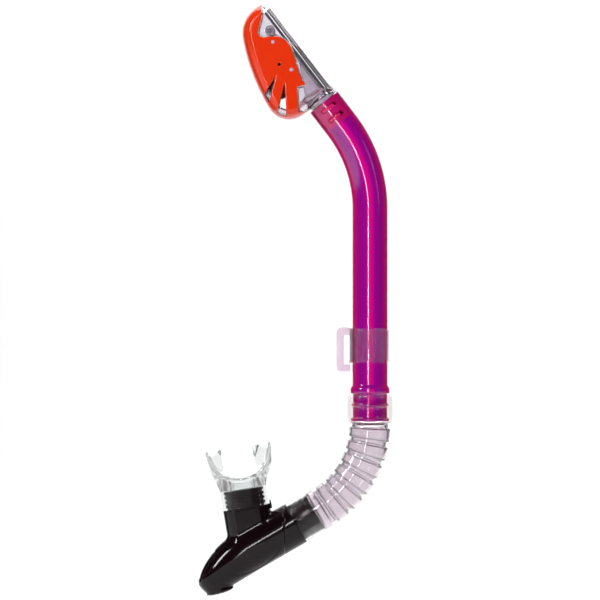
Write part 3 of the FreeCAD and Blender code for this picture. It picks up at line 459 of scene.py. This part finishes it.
def sweep_rings(stations, place, segments):
    """Rings of the given (distance along the path, radius), in barrel-frame millimetres."""
    rings = []
    for s, radius in stations:
        local = place(s)
        ring = []
        for k in range(segments):
            a = 2 * math.pi * k / segments
            ring.append(local @ Vector((radius * math.cos(a), radius * math.sin(a), 0)))
        rings.append(ring)
    return rings


def barrel_place(s):
    """Frame at height s up the barrel, round the bend and on."""
    if s <= BARREL_TOP_Z:
        return Matrix.Translation((0, 0, s))
    angle = min((s - BARREL_TOP_Z) / BEND_R, BEND)
    rest = s - BARREL_TOP_Z - angle * BEND_R
    return (Matrix.Translation((-BEND_R, 0, BARREL_TOP_Z)) @ Matrix.Rotation(-angle, 4, "Y")
            @ Matrix.Translation((BEND_R, 0, rest)))


def hose_place(s):
    """Frame at distance s down the hose: upper cuff (negative), arc, then straight through the lower cuff."""
    if s <= 0:
        return Matrix.Translation((0, 0, HOSE_TOP_Z - s)) @ Matrix.Rotation(math.pi, 4, "Y")
    angle = min(s / HOSE_BEND_R, SWEEP)
    rest = s - angle * HOSE_BEND_R
    return (Matrix.Translation((-HOSE_BEND_R, 0, HOSE_TOP_Z)) @ Matrix.Rotation(angle, 4, "Y")
            @ Matrix.Translation((HOSE_BEND_R, 0, -rest)) @ Matrix.Rotation(math.pi, 4, "Y"))


def rounded(stations, radius, steps=4):
    """Round the corners of an open profile of (s, r) points."""
    out = [stations[0]]
    for before, corner, after in zip(stations, stations[1:], stations[2:]):
        b, c, a = Vector(before), Vector(corner), Vector(after)
        cut = min(radius, (b - c).length * 0.45, (a - c).length * 0.45)
        start, end = c + (b - c).normalized() * cut, c + (a - c).normalized() * cut
        for i in range(steps + 1):
            t = i / steps
            p = start * (1 - t) ** 2 + c * 2 * t * (1 - t) + end * t * t
            out.append((p.x, p.y))
    out.append(stations[-1])
    return out


BARREL_EDGE_DEG = 35


def make_barrel():
    end = BARREL_TOP_Z + BEND * BEND_R + TOP_RUN
    inner = BARREL_R - BARREL_WALL
    foot = rounded([
        (BARREL_FOOT_Z, inner), (BARREL_FOOT_Z, SPIGOT_LIP_R), (BARREL_FOOT_Z + SPIGOT_LIP_H, SPIGOT_LIP_R),
        (BARREL_FOOT_Z + SPIGOT_LIP_H, SPIGOT_NECK_R), (-42.6, SPIGOT_NECK_R), (-42.0, SPIGOT_NECK_R + 0.9),
        (-41.0, SPIGOT_NECK_R + 0.9), (-40.4, SPIGOT_NECK_R), (FLARE_FOOT_Z, SPIGOT_NECK_R),
        (FLARE_FOOT_Z, FLARE_R), (FLARE_TOP_Z - 2.4, FLARE_R), (FLARE_TOP_Z, BARREL_R),
        (-20.0, BARREL_R)], 0.7)
    outer = foot + [(s, BARREL_R) for s in np.linspace(0, end - 1.0, 90)]
    outer += [(end - 0.6, BARREL_R), (end - 0.15, BARREL_R - 0.15), (end, BARREL_R - 0.5)]
    bore = [(end, inner + 0.3)] + [(s, inner) for s in np.linspace(end - 0.5, BARREL_FOOT_Z + 1, 90)]
    points, faces = rings_to_mesh(sweep_rings(outer + bore, barrel_place, 128))
    piece = put("barrel_tube", points, faces, BARREL, "tube", BARREL_PLASTIC, ["barrel"],
                BARREL_EDGE_DEG)
    for depth in SNAP_DEPTHS:
        cut_window(piece, depth)
    piece.data.shade_smooth()
    piece.data.set_sharp_from_angle(angle=math.radians(BARREL_EDGE_DEG))
    return piece


def cut_window(piece, depth):
    """Cut an oblong window through the barrel's front and back."""
    points, faces = [], []
    run, end_r, reach = SNAP_LENGTH / 2 - SNAP_WIDTH / 2, SNAP_WIDTH / 2, 20
    half_turn = np.linspace(-math.pi / 2, math.pi / 2, 12)
    rim = [(run + end_r * math.cos(a), end_r * math.sin(a)) for a in half_turn]
    rim += [(-run - end_r * math.cos(a), -end_r * math.sin(a)) for a in half_turn]
    for y in (-reach, reach):
        points += [(x, y, z - depth) for x, z in rim]
    count = len(rim)
    faces.append(tuple(range(count)))
    faces.append(tuple(range(count, 2 * count))[::-1])
    faces += [(k, (k + 1) % count, count + (k + 1) % count, count + k) for k in range(count)]
    mesh = bpy.data.meshes.new("window_cutter")
    mesh.from_pydata(points, [], faces)
    mesh.transform(TO_ROW @ HEAD)
    turn_outward(mesh)
    cutter = bpy.data.objects.new("window_cutter", mesh)
    bpy.context.scene.collection.objects.link(cutter)
    boolean = piece.modifiers.new("window", "BOOLEAN")
    boolean.operation = "DIFFERENCE"
    boolean.object = cutter
    bpy.context.view_layer.update()
    cut = bpy.data.meshes.new_from_object(piece.evaluated_get(bpy.context.evaluated_depsgraph_get()))
    piece.modifiers.clear()
    piece.data = cut
    bpy.data.objects.remove(cutter)


def make_sleeve():
    profile = rounded([
        (SLEEVE_FOOT_Z + 3, SLEEVE_IN), (SLEEVE_FOOT_Z, SLEEVE_IN), (SLEEVE_FOOT_Z, SLEEVE_RIM),
        (SLEEVE_FOOT_Z + RIM_H, SLEEVE_RIM), (SLEEVE_FOOT_Z + RIM_H, SLEEVE_OUT),
        (SLEEVE_TOP_Z - RIM_H, SLEEVE_OUT), (SLEEVE_TOP_Z - RIM_H, SLEEVE_RIM), (SLEEVE_TOP_Z, SLEEVE_RIM),
        (SLEEVE_TOP_Z, SLEEVE_IN), (SLEEVE_TOP_Z - 3, SLEEVE_IN)], 0.3)
    points, faces = rings_to_mesh(sweep_rings(profile, lambda s: Matrix.Translation((0, 0, s)), 96))
    return put("keeper_spool", points, faces, BARREL, "sleeve", KEEPER_PLASTIC,
               ["keeper_sleeve"], 40)


def make_clip():
    (x, y, z), where = grid((-26, -16.6, -18), (16.6, 16.6, 18), 0.3)
    low, high = SLEEVE_FOOT_Z + RIM_H + CLEAR, SLEEVE_TOP_Z - RIM_H - CLEAR
    ring = round_rod(x, y, z, RING_R, low, high)
    bar_x = -RING_R - SLOT_GAP
    outside = SLOT_HALF + ARM_H
    left = bar_x - BAR_WIDTH
    half_y = HOOK_DEPTH / 2
    hook = brick(x, y, z, ((left - HOOK_ROOT) / 2, 0, 0), ((-HOOK_ROOT - left) / 2, half_y, outside), 1.2)
    qx, qz = np.maximum(left + HOOK_CORNER - x, 0), np.maximum(np.abs(z) - outside + HOOK_CORNER, 0)
    hook = keep(hook, np.hypot(qx, qz) - HOOK_CORNER, 0.4)
    slot = brick(x, y, z, ((bar_x - RING_R) / 2 + 10, 0, 0), (SLOT_GAP / 2 + 10, 20, SLOT_HALF), 1.0)
    hook = carve(hook, slot, 0.5)
    hook = carve(hook, prism(np.hypot(x, y) - 15.35, z, -30, -SLOT_HALF + 4), 0.4)
    upper = brick(x, y, z, (-15, 0, outside - ARM_H / 2), (7, half_y, ARM_H / 2), 0.8)
    body = join(join(hook, upper, 0.5), ring, 0.8)
    body = carve(body, round_rod(x, y, z, RING_R - RING_WALL, -40, 40), 0.15)
    rim_room = SLEEVE_RIM + RIM_ROOM
    body = carve(body, round_rod(x, y, z, rim_room, high, 40), 0.15)
    body = carve(body, round_rod(x, y, z, rim_room, -SLOT_HALF, low), 0.15)
    points, quads = field_mesh(body, where)
    return put("keeper_hook", points, quads, BARREL, "clip", KEEPER_PLASTIC,
               ["keeper_clip"])


def rib_middles():
    """The middle of each rib, in degrees round the arc."""
    return [FIRST_RIB_DEG + i * RIB_PITCH_DEG for i in range(RIB_COUNT)]


def hose_profile():
    """Outer and inner profiles of the hose as (distance, radius)."""
    per_deg = math.radians(1) * HOSE_BEND_R
    arc = SWEEP_DEG * per_deg
    outer = [(CUFF_START, SPIGOT_NECK_R + 1.5), (CUFF_START + 0.3, CUFF_R - 1.6),
             (CUFF_START + 2.0, CUFF_R - 0.2), (CUFF_START + 5, CUFF_R), (-4.5, CUFF_R), (-1.6, CUFF_R - 0.7),
             (-0.3, CUFF_R - 2.2), (0.3, VALLEY_R + 0.1)]
    for middle in rib_middles():
        outer += [((middle - RIB_FOOT_DEG) * per_deg, VALLEY_R), ((middle - RIB_TOP_DEG) * per_deg, RIB_R),
                  ((middle + RIB_TOP_DEG) * per_deg, RIB_R), ((middle + RIB_FOOT_DEG) * per_deg, VALLEY_R)]
    outer += [(58.6 * per_deg, VALLEY_R), (58.8 * per_deg, RIB_R), (arc + 7.1, RIB_R),
              (arc + 7.5, LOWER_CUFF_R - 0.6), (arc + 15.4, LOWER_CUFF_R - 0.3),
              (arc + 15.7, LOWER_BEAD_R - 0.4), (arc + 17.6, LOWER_BEAD_R - 0.4),
              (arc + 17.8, LOWER_BEAD_R - 0.9), (arc + 18.2, LOWER_BEAD_R - 0.9), (arc + 18.4, LOWER_BEAD_R),
              (arc + 20.7, LOWER_BEAD_R), (arc + CUFF_END, 14.6)]
    inner = [(arc + CUFF_END, LOWER_CUFF_BORE_R), (arc + 4.25, LOWER_CUFF_BORE_R), (arc + 4.2, 12.6),
             (arc + 2.6, 13.0)]
    for middle in reversed(rib_middles()):
        inner += [((middle + HOLLOW_FOOT_DEG) * per_deg, WAIST_R),
                  ((middle + HOLLOW_TOP_DEG) * per_deg, HOLLOW_R),
                  ((middle - HOLLOW_TOP_DEG) * per_deg, HOLLOW_R),
                  ((middle - HOLLOW_FOOT_DEG) * per_deg, WAIST_R)]
    lip = HOSE_TOP_Z - BARREL_FOOT_Z
    over_neck, over_lip = SPIGOT_NECK_R + CLEAR, SPIGOT_LIP_R + CLEAR
    inner += [(-0.6, HOSE_BORE_R + 0.6), (lip + 0.2, HOSE_BORE_R + 0.6), (lip + 0.15, over_lip),
              (lip - SPIGOT_LIP_H - 0.15, over_lip), (lip - SPIGOT_LIP_H - 0.2, over_neck),
              (-12.4, over_neck), (-12.6, SPIGOT_NECK_R + 1.2), (-14.6, SPIGOT_NECK_R + 1.2),
              (-14.8, over_neck), (CUFF_START, over_neck)]
    return rounded(outer, 0.8, 5), rounded(inner, 0.6, 4)


def dense(profile, most):
    """Add points so that no two stand further apart than most."""
    out = [profile[0]]
    for a, b in zip(profile, profile[1:]):
        count = max(1, math.ceil(math.hypot(b[0] - a[0], b[1] - a[1]) / most))
        out += [(a[0] + (b[0] - a[0]) * i / count, a[1] + (b[1] - a[1]) * i / count)
                for i in range(1, count + 1)]
    return out


def make_hose():
    outer, inner = hose_profile()
    step = 1.2
    stations = dense(outer, step) + dense(inner, step)
    points, faces = rings_to_mesh(sweep_rings(stations, hose_place, 112))
    piece = put("ribbed_hose", points, faces, BARREL, None, HOSE_SILICONE, ["flex_hose"], 50)
    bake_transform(piece)
    return piece


# ---------------------------------------------------------------- lower chamber and mouthpiece


def make_chamber():
    (x, y, z), where = grid((-21, -18.5, 3), (53, 18.5, 109.5), 0.45)
    t = np.clip((z - NOSE_START) / (NOSE_END - NOSE_START), 0, 0.9995)
    top = CHAMBER_R * np.sqrt(1 - t * t) - NOSE_DROP * t * t
    foot = -CHAMBER_R * np.sqrt(1 - t ** 12) - NOSE_SAG * t
    trunk = np.hypot(x - (top + foot) / 2, y) - (top - foot) / 2
    true_length = np.sqrt(np.clip(1 - 0.55 * t ** 4, 0.3, 1))   # the nose's steep end stretches its distances
    trunk = np.maximum(trunk * true_length, np.maximum(COLLAR_START - z, z - NOSE_END + 0.1))
    nx, ny, nz = into(NECK_IN_CHAMBER, x, y, z)
    neck = racetrack(nx, ny, NECK_X, NECK_Y + 1.4)
    neck = keep(neck, np.abs(ny) - NECK_Y, 0.25)
    neck = keep(neck, np.abs(nz - SHOULDER / 2 - 4) - SHOULDER / 2 + 4, 0.5)
    body = join(trunk, neck, 2.6)
    lens = np.hypot((z - LENS_Z) / LENS_HALF_Z, (x - LENS_X) / LENS_HALF_X) - 1
    grip = 1 - np.hypot(z - GRIP_Z, x - GRIP_X) / GRIP_R
    body = body + LENS_DEPTH * step_up(-lens * 8, 0.8) + GRIP_DEPTH * step_up(grip * 20, 0.8)
    _, _, across = into(SEAM, x, y, z)
    body = keep(body, 0.05 - across, 0.6)
    lug = join(brick(nx, ny, nz, (17.6, 0, 29.0), (1.6, 2.6, 1.9), 0.5),
               brick(nx, ny, nz, (18.5, 0, 30.4), (0.6, 2.6, 3.2), 0.4), 0.4)
    body = join(body, lug, 0.4)
    post = prism(racetrack(nx, ny, POST_X, POST_Y), nz, 20, SHOULDER + POST_LENGTH)
    ring = (nz - SHOULDER - POST_RING_AT) % POST_RING_PITCH
    ringed = (nz > SHOULDER + 0.9) * (nz < SHOULDER + POST_LENGTH - 0.4)
    barb = POST_RING_H * step_up(1.15 - np.abs(ring - POST_RING_AT), 0.7) * ringed
    body = np.minimum(body, post + 0.8 - barb)
    px, py, pz = into(turned(-PURGE_OUT, PURGE_AT, 90 + PURGE_TILT), x, y, z)
    body = join(body, round_rod(px, py, pz, BOSS_R, BOSS_TOP, 11), 1.4)
    body = carve(body, round_rod(px, py, pz, POCKET_R, -3, SEAT_Z), 0.3)
    body = carve(body, round_rod(px, py, pz, PURGE_BORE_R, -3, PURGE_OUT - 1), 0.2)
    body = carve(body, round_rod(x, y, z, CHAMBER_BORE_R, 0, 80), 0.3)
    body = carve(body, prism(racetrack(nx, ny, POST_X - POST_WALL, POST_Y - POST_WALL), nz, 0, 60), 0.3)
    points, quads = field_mesh(body, where)
    return put("chamber_body", points, quads, CHAMBER, "chamber", CHAMBER_PLASTIC,
               ["lower_chamber"])


def make_connector():
    (x, y, z), where = grid((-17.5, -17.5, 3.6), (17.5, 17.5, 42), 0.36)
    _, _, across = into(SEAM, x, y, z)
    collar = keep(round_rod(x, y, z, CHAMBER_R, COLLAR_START, 60), across + 0.05, 0.6)
    spigot = round_rod(x, y, z, SPIGOT_R, SPIGOT_TOP, 30)
    for at in SPIGOT_RINGS:
        spigot = spigot + SPIGOT_RING_H * step_up(0.7 - np.abs(z - at), 0.5)
    body = np.minimum(collar, np.maximum(spigot, across))
    body = carve(body, round_rod(x, y, z, CHAMBER_BORE_R, 0, 80), 0.3)
    points, quads = field_mesh(body, where)
    return put("hose_connector", points, quads, CHAMBER, "chamber", CHAMBER_PLASTIC,
               ["chamber_connector"])


def make_mouthpiece():
    (x, y, z), where = grid((-27, -15.5, -0.5), (29, 15.5, 49), 0.4)
    rise = step_up(z - FLARE_MIDDLE, FLARE_LENGTH)
    half_x = MOUTH_X + MOUTH_FLARE_X * rise
    half_y = MOUTH_Y + MOUTH_FLARE_Y * rise
    flat = half_x - half_y
    sleeve = np.hypot(np.maximum(np.abs(x - ARCH_OFF * rise) - flat, 0), y) - half_y
    sleeve = np.maximum(sleeve, np.maximum(TOUCH - z, z - 40))
    r = np.hypot(x - ARCH_OFF, z - ARCH_AT)
    thick = FLANGE_T / 2
    qy, qr = np.abs(y) - FLANGE_Y + thick, np.abs(r - ARCH_R - thick)
    sheet = np.hypot(np.maximum(qy, 0), qr) - thick * 0.95
    tip_gap = z - ARCH_AT - TIP_RISE
    sheet = keep(sheet, tip_gap, 0.9)
    body = join(sleeve, sheet, 2.0)
    body = carve(body, r - ARCH_R, 0.5)
    for side in (-1, 1):
        a = math.radians(TAB_TURN_DEG)
        dx, dz = side * (x - ARCH_OFF), z - ARCH_AT
        along, across = dx * math.cos(a) - dz * math.sin(a), dx * math.sin(a) + dz * math.cos(a)
        web = brick(along, y, across, (WEB_AT, 0, 0), WEB_HALF, 1.0)
        bulb = brick(along, y, across, (BULB_AT, 0, 0), BULB_HALF, 2.0)
        body = join(body, join(web, bulb, 1.5), 1.2)
        for rib_x in GRIP_RIBS_X:
            rib = brick(x, y, z, (side * rib_x, 0, 21), (0.6, 13.0, 6.5), 0.5)
            body = join(body, np.maximum(rib, ARCH_R + 0.4 - r), 0.8)
    barbed = prism(racetrack(x, y, POST_X + 0.65, POST_Y + 0.65), z, -2, POST_LENGTH + CLEAR)
    body = carve(body, barbed, 0.2)
    body = carve(body, prism(racetrack(x, y, MOUTH_BORE_X, MOUTH_BORE_Y), z, -2, 50), 0.4)
    points, quads = field_mesh(body, where)
    return put("bite_mouthpiece", points, quads, MOUTH, "chamber", MOUTH_SILICONE,
               ["mouthpiece"])


# ---------------------------------------------------------------- head


def arc_points(centre, radius, start, end, steps=24):
    return [(centre[0] + radius * math.cos(a), centre[1] + radius * math.sin(a))
            for a in np.linspace(start, end, steps)]


def head_outline(inset):
    """The head's side outline as a dense polyline, shrunk by inset."""
    tip_r = TIP_R - 0.4 * inset
    crown_r, belly_r, flank_r = CROWN[2] - inset, BELLY[2] - inset, FLANK_R - inset
    back = HEAD_BACK - inset
    tip = (back - tip_r, CROWN[1] + math.sqrt((crown_r - tip_r) ** 2 - (back - tip_r - CROWN[0]) ** 2))
    a, b = Vector(CROWN[:2]), Vector(BELLY[:2])
    gap = b - a
    da, db, dist = flank_r - crown_r, flank_r - belly_r, gap.length
    along = (da * da - db * db + dist * dist) / (2 * dist)
    across = math.sqrt(da * da - along * along)
    unit = gap / dist
    flank = a + unit * along + Vector((-unit.y, unit.x)) * across
    to_crown = math.atan2(a.y - flank.y, a.x - flank.x) % (2 * math.pi)
    to_belly = math.atan2(b.y - flank.y, b.x - flank.x) % (2 * math.pi)
    tip_end = math.atan2(tip[1] - CROWN[1], tip[0] - CROWN[0])
    return ([(back, HEAD_FOOT + inset), (back, tip[1])]
            + arc_points(tip, tip_r, 0, tip_end, 8)
            + arc_points(CROWN, crown_r, tip_end, to_crown)
            + arc_points(flank, flank_r, to_crown, to_belly)
            + arc_points(BELLY, belly_r, to_belly, 1.5 * math.pi))


def curve_through(points, steps=6):
    """A smooth open curve through points."""
    out = []
    for i in range(len(points) - 1):
        p = [Vector(points[min(max(k, 0), len(points) - 1)]) for k in (i - 1, i, i + 1, i + 2)]
        for j in range(steps):
            t = j / steps
            q = 0.5 * (2 * p[1] + (p[2] - p[0]) * t + (2 * p[0] - 5 * p[1] + 4 * p[2] - p[3]) * t ** 2
                       + (3 * p[1] - 3 * p[2] + p[3] - p[0]) * t ** 3)
            out.append((q.x, q.y))
    return out + [tuple(points[-1])]


CUT_EDGE = ((6.2, 86.3), (2.0, 79.1), (-5.8, 72.8), (-8.5, 69.4), (-7.2, 65.6), (-2.9, 63.0), (2.9, 58.1),
            (5.1, 50.0), (2.7, 40.7), (-2.1, 28.3), (-3.7, 18.2))
FINGER = ((-9.6, 20.9), (-19.9, 5.1), (-17.3, 3.4), (-10.0, 1.7), (-10.0, -5.0), (-60.0, -5.0), (-60.0, 95.0),
          (6.2, 95.0))
FAN_SLOTS = (((-17.0, 37.1), (-36.5, 29.6), (-35.5, 22.6)), ((-15.3, 28.6), (-35.0, 13.2), (-29.5, 8.0)))


class HeadFields:
    """The fields that the cover and the housing share, on one grid."""

    def __init__(self, low, high, step):
        (self.x, self.y, self.z), self.where = grid(low, high, step)
        x2, z2 = self.x[:, 0, :], self.z[:, 0, :]
        self.flat = {}
        self.x2, self.z2 = x2, z2
        self.region = outline_distance(curve_through(CUT_EDGE) + list(FINGER), x2, z2)[:, None, :]
        self.slots = [outline_distance(list(s), x2, z2)[:, None, :] for s in FAN_SLOTS]

    def form(self, inset):
        """The head's pillow, shrunk by inset all round."""
        half = HEAD_HALF_Y - inset
        level = np.clip(np.abs(self.y) / half, 0, 0.9999)
        shrink = HEAD_EDGE * (1 - np.sqrt(1 - level * level))
        if inset not in self.flat:
            self.flat[inset] = outline_distance(head_outline(inset), self.x2, self.z2)[:, None, :]
        slope = HEAD_EDGE * level / half / np.sqrt(1 - level * level)
        side = (self.flat[inset] + shrink) / np.sqrt(1 + slope ** 2)
        return np.maximum(side, np.abs(self.y) - half)

    def wedges(self, rim):
        """The fan's slots, kept inside the head's outline shrunk by rim."""
        inside = outline_distance(head_outline(rim), self.x2, self.z2)[:, None, :]
        inside = np.broadcast_to(inside, self.x.shape)
        return [keep(np.broadcast_to(s, self.x.shape), inside, 0.6) for s in self.slots]


def hole(f, at, radius):
    return np.hypot(f.x - at[0], f.z - at[1]) - radius


def make_cover():
    f = HeadFields((-37, -19.6, 1), (8, 19.6, 89), 0.36)
    shell = carve(f.form(0.0), f.form(COVER_WALL), 0.15)
    shell = keep(shell, np.broadcast_to(f.region, f.x.shape), 0.4)
    for wedge in f.wedges(1.9):
        shell = carve(shell, wedge, 0.5)
    for at in PEGS:
        shell = carve(shell, hole(f, at, PEG_R + TOUCH), 0.25)
    shell = carve(shell, hole(f, VENT, VENT_R), 0.3)
    points, quads = field_mesh(shell, f.where)
    return put("orange_cover", points, quads, HEAD, "tube", COVER_PLASTIC, ["splash_cover"])


def make_housing():
    f = HeadFields((-36, -19.6, -0.6), (13.8, 19.6, 89), 0.4)
    x, y, z = f.x, f.y, f.z
    outer, inner = f.form(0.0), f.form(COVER_WALL + TOUCH)
    region = np.broadcast_to(f.region, x.shape)
    skin = np.minimum(keep(outer, -region + TOUCH, 0.3), np.maximum(inner, region))
    spine = step_up(x - 6.6, 0.9) * (z > 3)
    thinned = 0.35 * (1 - spine) * (np.abs(y) > FLANK_FROM_Y) * (region > 0.5)
    shell = carve(skin + thinned, f.form(HEAD_WALL), 0.3)
    boss = np.maximum(hole(f, HINGE, HINGE_BOSS_R), np.maximum(skin, BOSS_IN_Y - np.abs(y)))
    shell = join(shell, boss, 0.5)
    collar = np.maximum(round_rod(x, y, z, COLLAR_R, TOUCH, FLOOR_Z - HOUSING_WALL), -region + TOUCH)
    shell = join(shell, collar, 0.4)
    shell = carve(shell, round_rod(x, y, z, PLUG_R + TOUCH, -5, PLUG_TOP + TOUCH), 0.1)
    beyond = -round_rod(x, y, z, HEAD_BACK, 0, SEAT_TOP)
    for wedge in f.wedges(7.0):
        shell = carve(shell, np.maximum(wedge, beyond), 0.5)
    shell = carve(shell, np.maximum(hole(f, HINGE, HINGE_R), np.abs(y) - PIN_REACH), 0.1)
    for at in PEGS:
        shell = carve(shell, hole(f, at, PEG_R + TOUCH), 0.1)
    points, quads = field_mesh(shell, f.where)
    return put("clear_housing", points, quads, HEAD, "tube", CLEAR_PLASTIC, ["head_housing"])


def make_valve_tube():
    f = HeadFields((-13.8, -13.8, -20.4), (13.8, 13.8, 54), 0.34)
    x, y, z = f.x, f.y, f.z
    seat_turn = math.degrees(math.atan2(2 * CONDUIT_BORE_R, SEAT_TOP - SEAT_FOOT))
    sx, _, _ = into(turned(CONDUIT_BORE_X, (SEAT_FOOT + SEAT_TOP) / 2, seat_turn), x, y, z)
    inside = np.maximum(-sx, f.form(HEAD_WALL + TOUCH))
    conduit = np.maximum(round_rod(x, y, z, HEAD_BACK, FLOOR_Z + TOUCH, 53), inside)
    groove = np.hypot(np.hypot(x, y) - PLUG_R + ORING_DEPTH, z + ORING_DOWN) - ORING_R
    body = join(carve(round_rod(x, y, z, PLUG_R, -PLUG_LENGTH, PLUG_TOP), groove, 0.1), conduit, 0.3)
    for depth in SNAP_DEPTHS:
        run, end_r = SNAP_LENGTH / 2 - SNAP_WIDTH / 2, SNAP_WIDTH / 2 - 0.12
        bar = np.hypot(np.maximum(np.abs(x) - run, 0), z + depth) - end_r
        bar = keep(bar, np.hypot(x, y) - BARREL_R + SNAP_SINK, 0.7)
        body = np.minimum(body, np.maximum(bar, 8 - np.abs(y)))
    body = carve(body, round_rod(x, y, z, PLUG_R - PLUG_WALL, -30, FLOOR_Z), 0.3)
    body = carve(body, round_rod(x - CONDUIT_BORE_X, y, z, CONDUIT_BORE_R, HEAD_FOOT, 80), 0.3)
    points, quads = field_mesh(body, f.where)
    return put("valve_conduit", points, quads, HEAD, "tube", VALVE_PLASTIC, ["valve_tube"])


# ---------------------------------------------------------------- carried-over CAD nodes
CARRIED = {"cover_pegs": PEG_PLASTIC, "hinge_pin": PIN_STEEL, "head_oring": SEAL_RUBBER,
           "float_arm": ARM_PLASTIC, "float_shell": FLOAT_PLASTIC, "valve_seal": SEAL_RUBBER,
           "seal_button": SEAL_RUBBER, "purge_frame": CHAMBER_PLASTIC, "purge_cover": CHAMBER_PLASTIC,
           "purge_disc": DISC_SILICONE}


def dress_cad_nodes():
    for name, finish in CARRIED.items():
        node = frame["nodes"][name]
        if not node.material_slots:
            node.data.materials.append(finish)
        for each in node.material_slots:
            each.material = finish


# ---------------------------------------------------------------- camera, lights, floor


def make_camera():
    view_m, distance = 0.45, 3.2
    centre = Vector((AXIS_X * MM - 0.0525, 0, 0.0372))
    data = bpy.data.cameras.new("camera")
    data.sensor_width = 36.0
    data.lens = data.sensor_width * distance / view_m
    data.clip_end = 50
    camera = bpy.data.objects.new("camera", data)
    camera.location = centre + Vector((0, -distance, 0))
    camera.rotation_euler = (math.radians(90), 0, 0)
    bpy.context.scene.collection.objects.link(camera)
    bpy.context.scene.camera = camera


def soft_light(name, place, target, size, power, mirrored=True):
    data = bpy.data.lights.new(name, "AREA")
    data.shape = "RECTANGLE"
    data.size, data.size_y = size
    data.energy = power
    light = bpy.data.objects.new(name, data)
    light.location = place
    light.rotation_euler = (Vector(target) - Vector(place)).to_track_quat("-Z", "Y").to_euler()
    light.visible_glossy = mirrored
    bpy.context.scene.collection.objects.link(light)


def make_studio():
    low = cad_box[0][2] - 0.05
    floor_mat, tree, shader = material("pale_floor", (0.9, 0.9, 0.9), Roughness=0.9)
    tree.links.new(mix_colors(tree, noise(tree, 6.0), (0.92, 0.92, 0.92), (0.89, 0.89, 0.895)),
                   shader.inputs["Base Color"])
    radius, depth, width, height = 0.5, 1.2, 4.0, 3.0
    profile = [(-3.0, low)] + [(depth - radius + radius * math.sin(a), low + radius - radius * math.cos(a))
                               for a in np.linspace(0, math.pi / 2, 16)] + [(depth, low + height)]
    points = [(x, y, z) for y, z in profile for x in (-width, width)]
    faces = [(2 * i, 2 * i + 1, 2 * i + 3, 2 * i + 2) for i in range(len(profile) - 1)]
    mesh = bpy.data.meshes.new("floor_sweep")
    mesh.from_pydata(points, [], faces)
    mesh.shade_smooth()
    mesh.materials.append(floor_mat)
    floor = bpy.data.objects.new("floor_sweep", mesh)
    bpy.context.scene.collection.objects.link(floor)
    flag_mat, tree, shader = material("flag_cloth", (0.02, 0.02, 0.02), Roughness=0.9)
    tree.links.new(mix_colors(tree, noise(tree, 40.0), (0.02, 0.02, 0.02), (0.03, 0.03, 0.03)),
                   shader.inputs["Base Color"])
    near_y, far_y, flag_top = 0.15, 1.0, 0.9
    for side in (-1, 1):
        flag = bpy.data.meshes.new("side_flag")
        x0, x1 = side * 0.42, side * 0.62
        corners = [(x0, near_y, low), (x1, far_y, low), (x1, far_y, flag_top), (x0, near_y, flag_top)]
        flag.from_pydata(corners, [], [(0, 1, 2, 3)])
        flag.materials.append(flag_mat)
        panel = bpy.data.objects.new("side_flag", flag)
        bpy.context.scene.collection.objects.link(panel)
    world = bpy.data.worlds.new("studio")
    world.use_nodes = True
    world.node_tree.nodes["Background"].inputs["Color"].default_value = (0.8, 0.84, 0.9, 1)
    world.node_tree.nodes["Background"].inputs["Strength"].default_value = 0.05
    bpy.context.scene.world = world
    bpy.context.scene.view_settings.view_transform = "Standard"
    aim = (0, 0, 0.05)
    soft_light("key_strip", (-0.46, -2.2, 0.25), aim, (0.045, 1.9), 20)
    soft_light("front_left", (-2.0, -1.2, 1.0), aim, (0.3, 1.0), 36)
    soft_light("front_right", (2.0, -1.2, 0.7), aim, (0.25, 1.0), 26, mirrored=False)
    soft_light("top_bar", (-0.5, -0.7, 2.0), aim, (1.2, 0.2), 18)
    soft_light("backdrop_top", (0, 0.45, 1.35), (0, 1.2, -0.05), (1.6, 0.3), 15)
    soft_light("backdrop_low", (0, 0.55, 0.95), (0, 0.95, -0.3), (1.6, 0.3), 5)


make_camera()
make_barrel()
make_sleeve()
make_clip()
make_hose()
make_connector()
make_chamber()
make_mouthpiece()
make_cover()
make_housing()
make_valve_tube()
dress_cad_nodes()
make_studio()
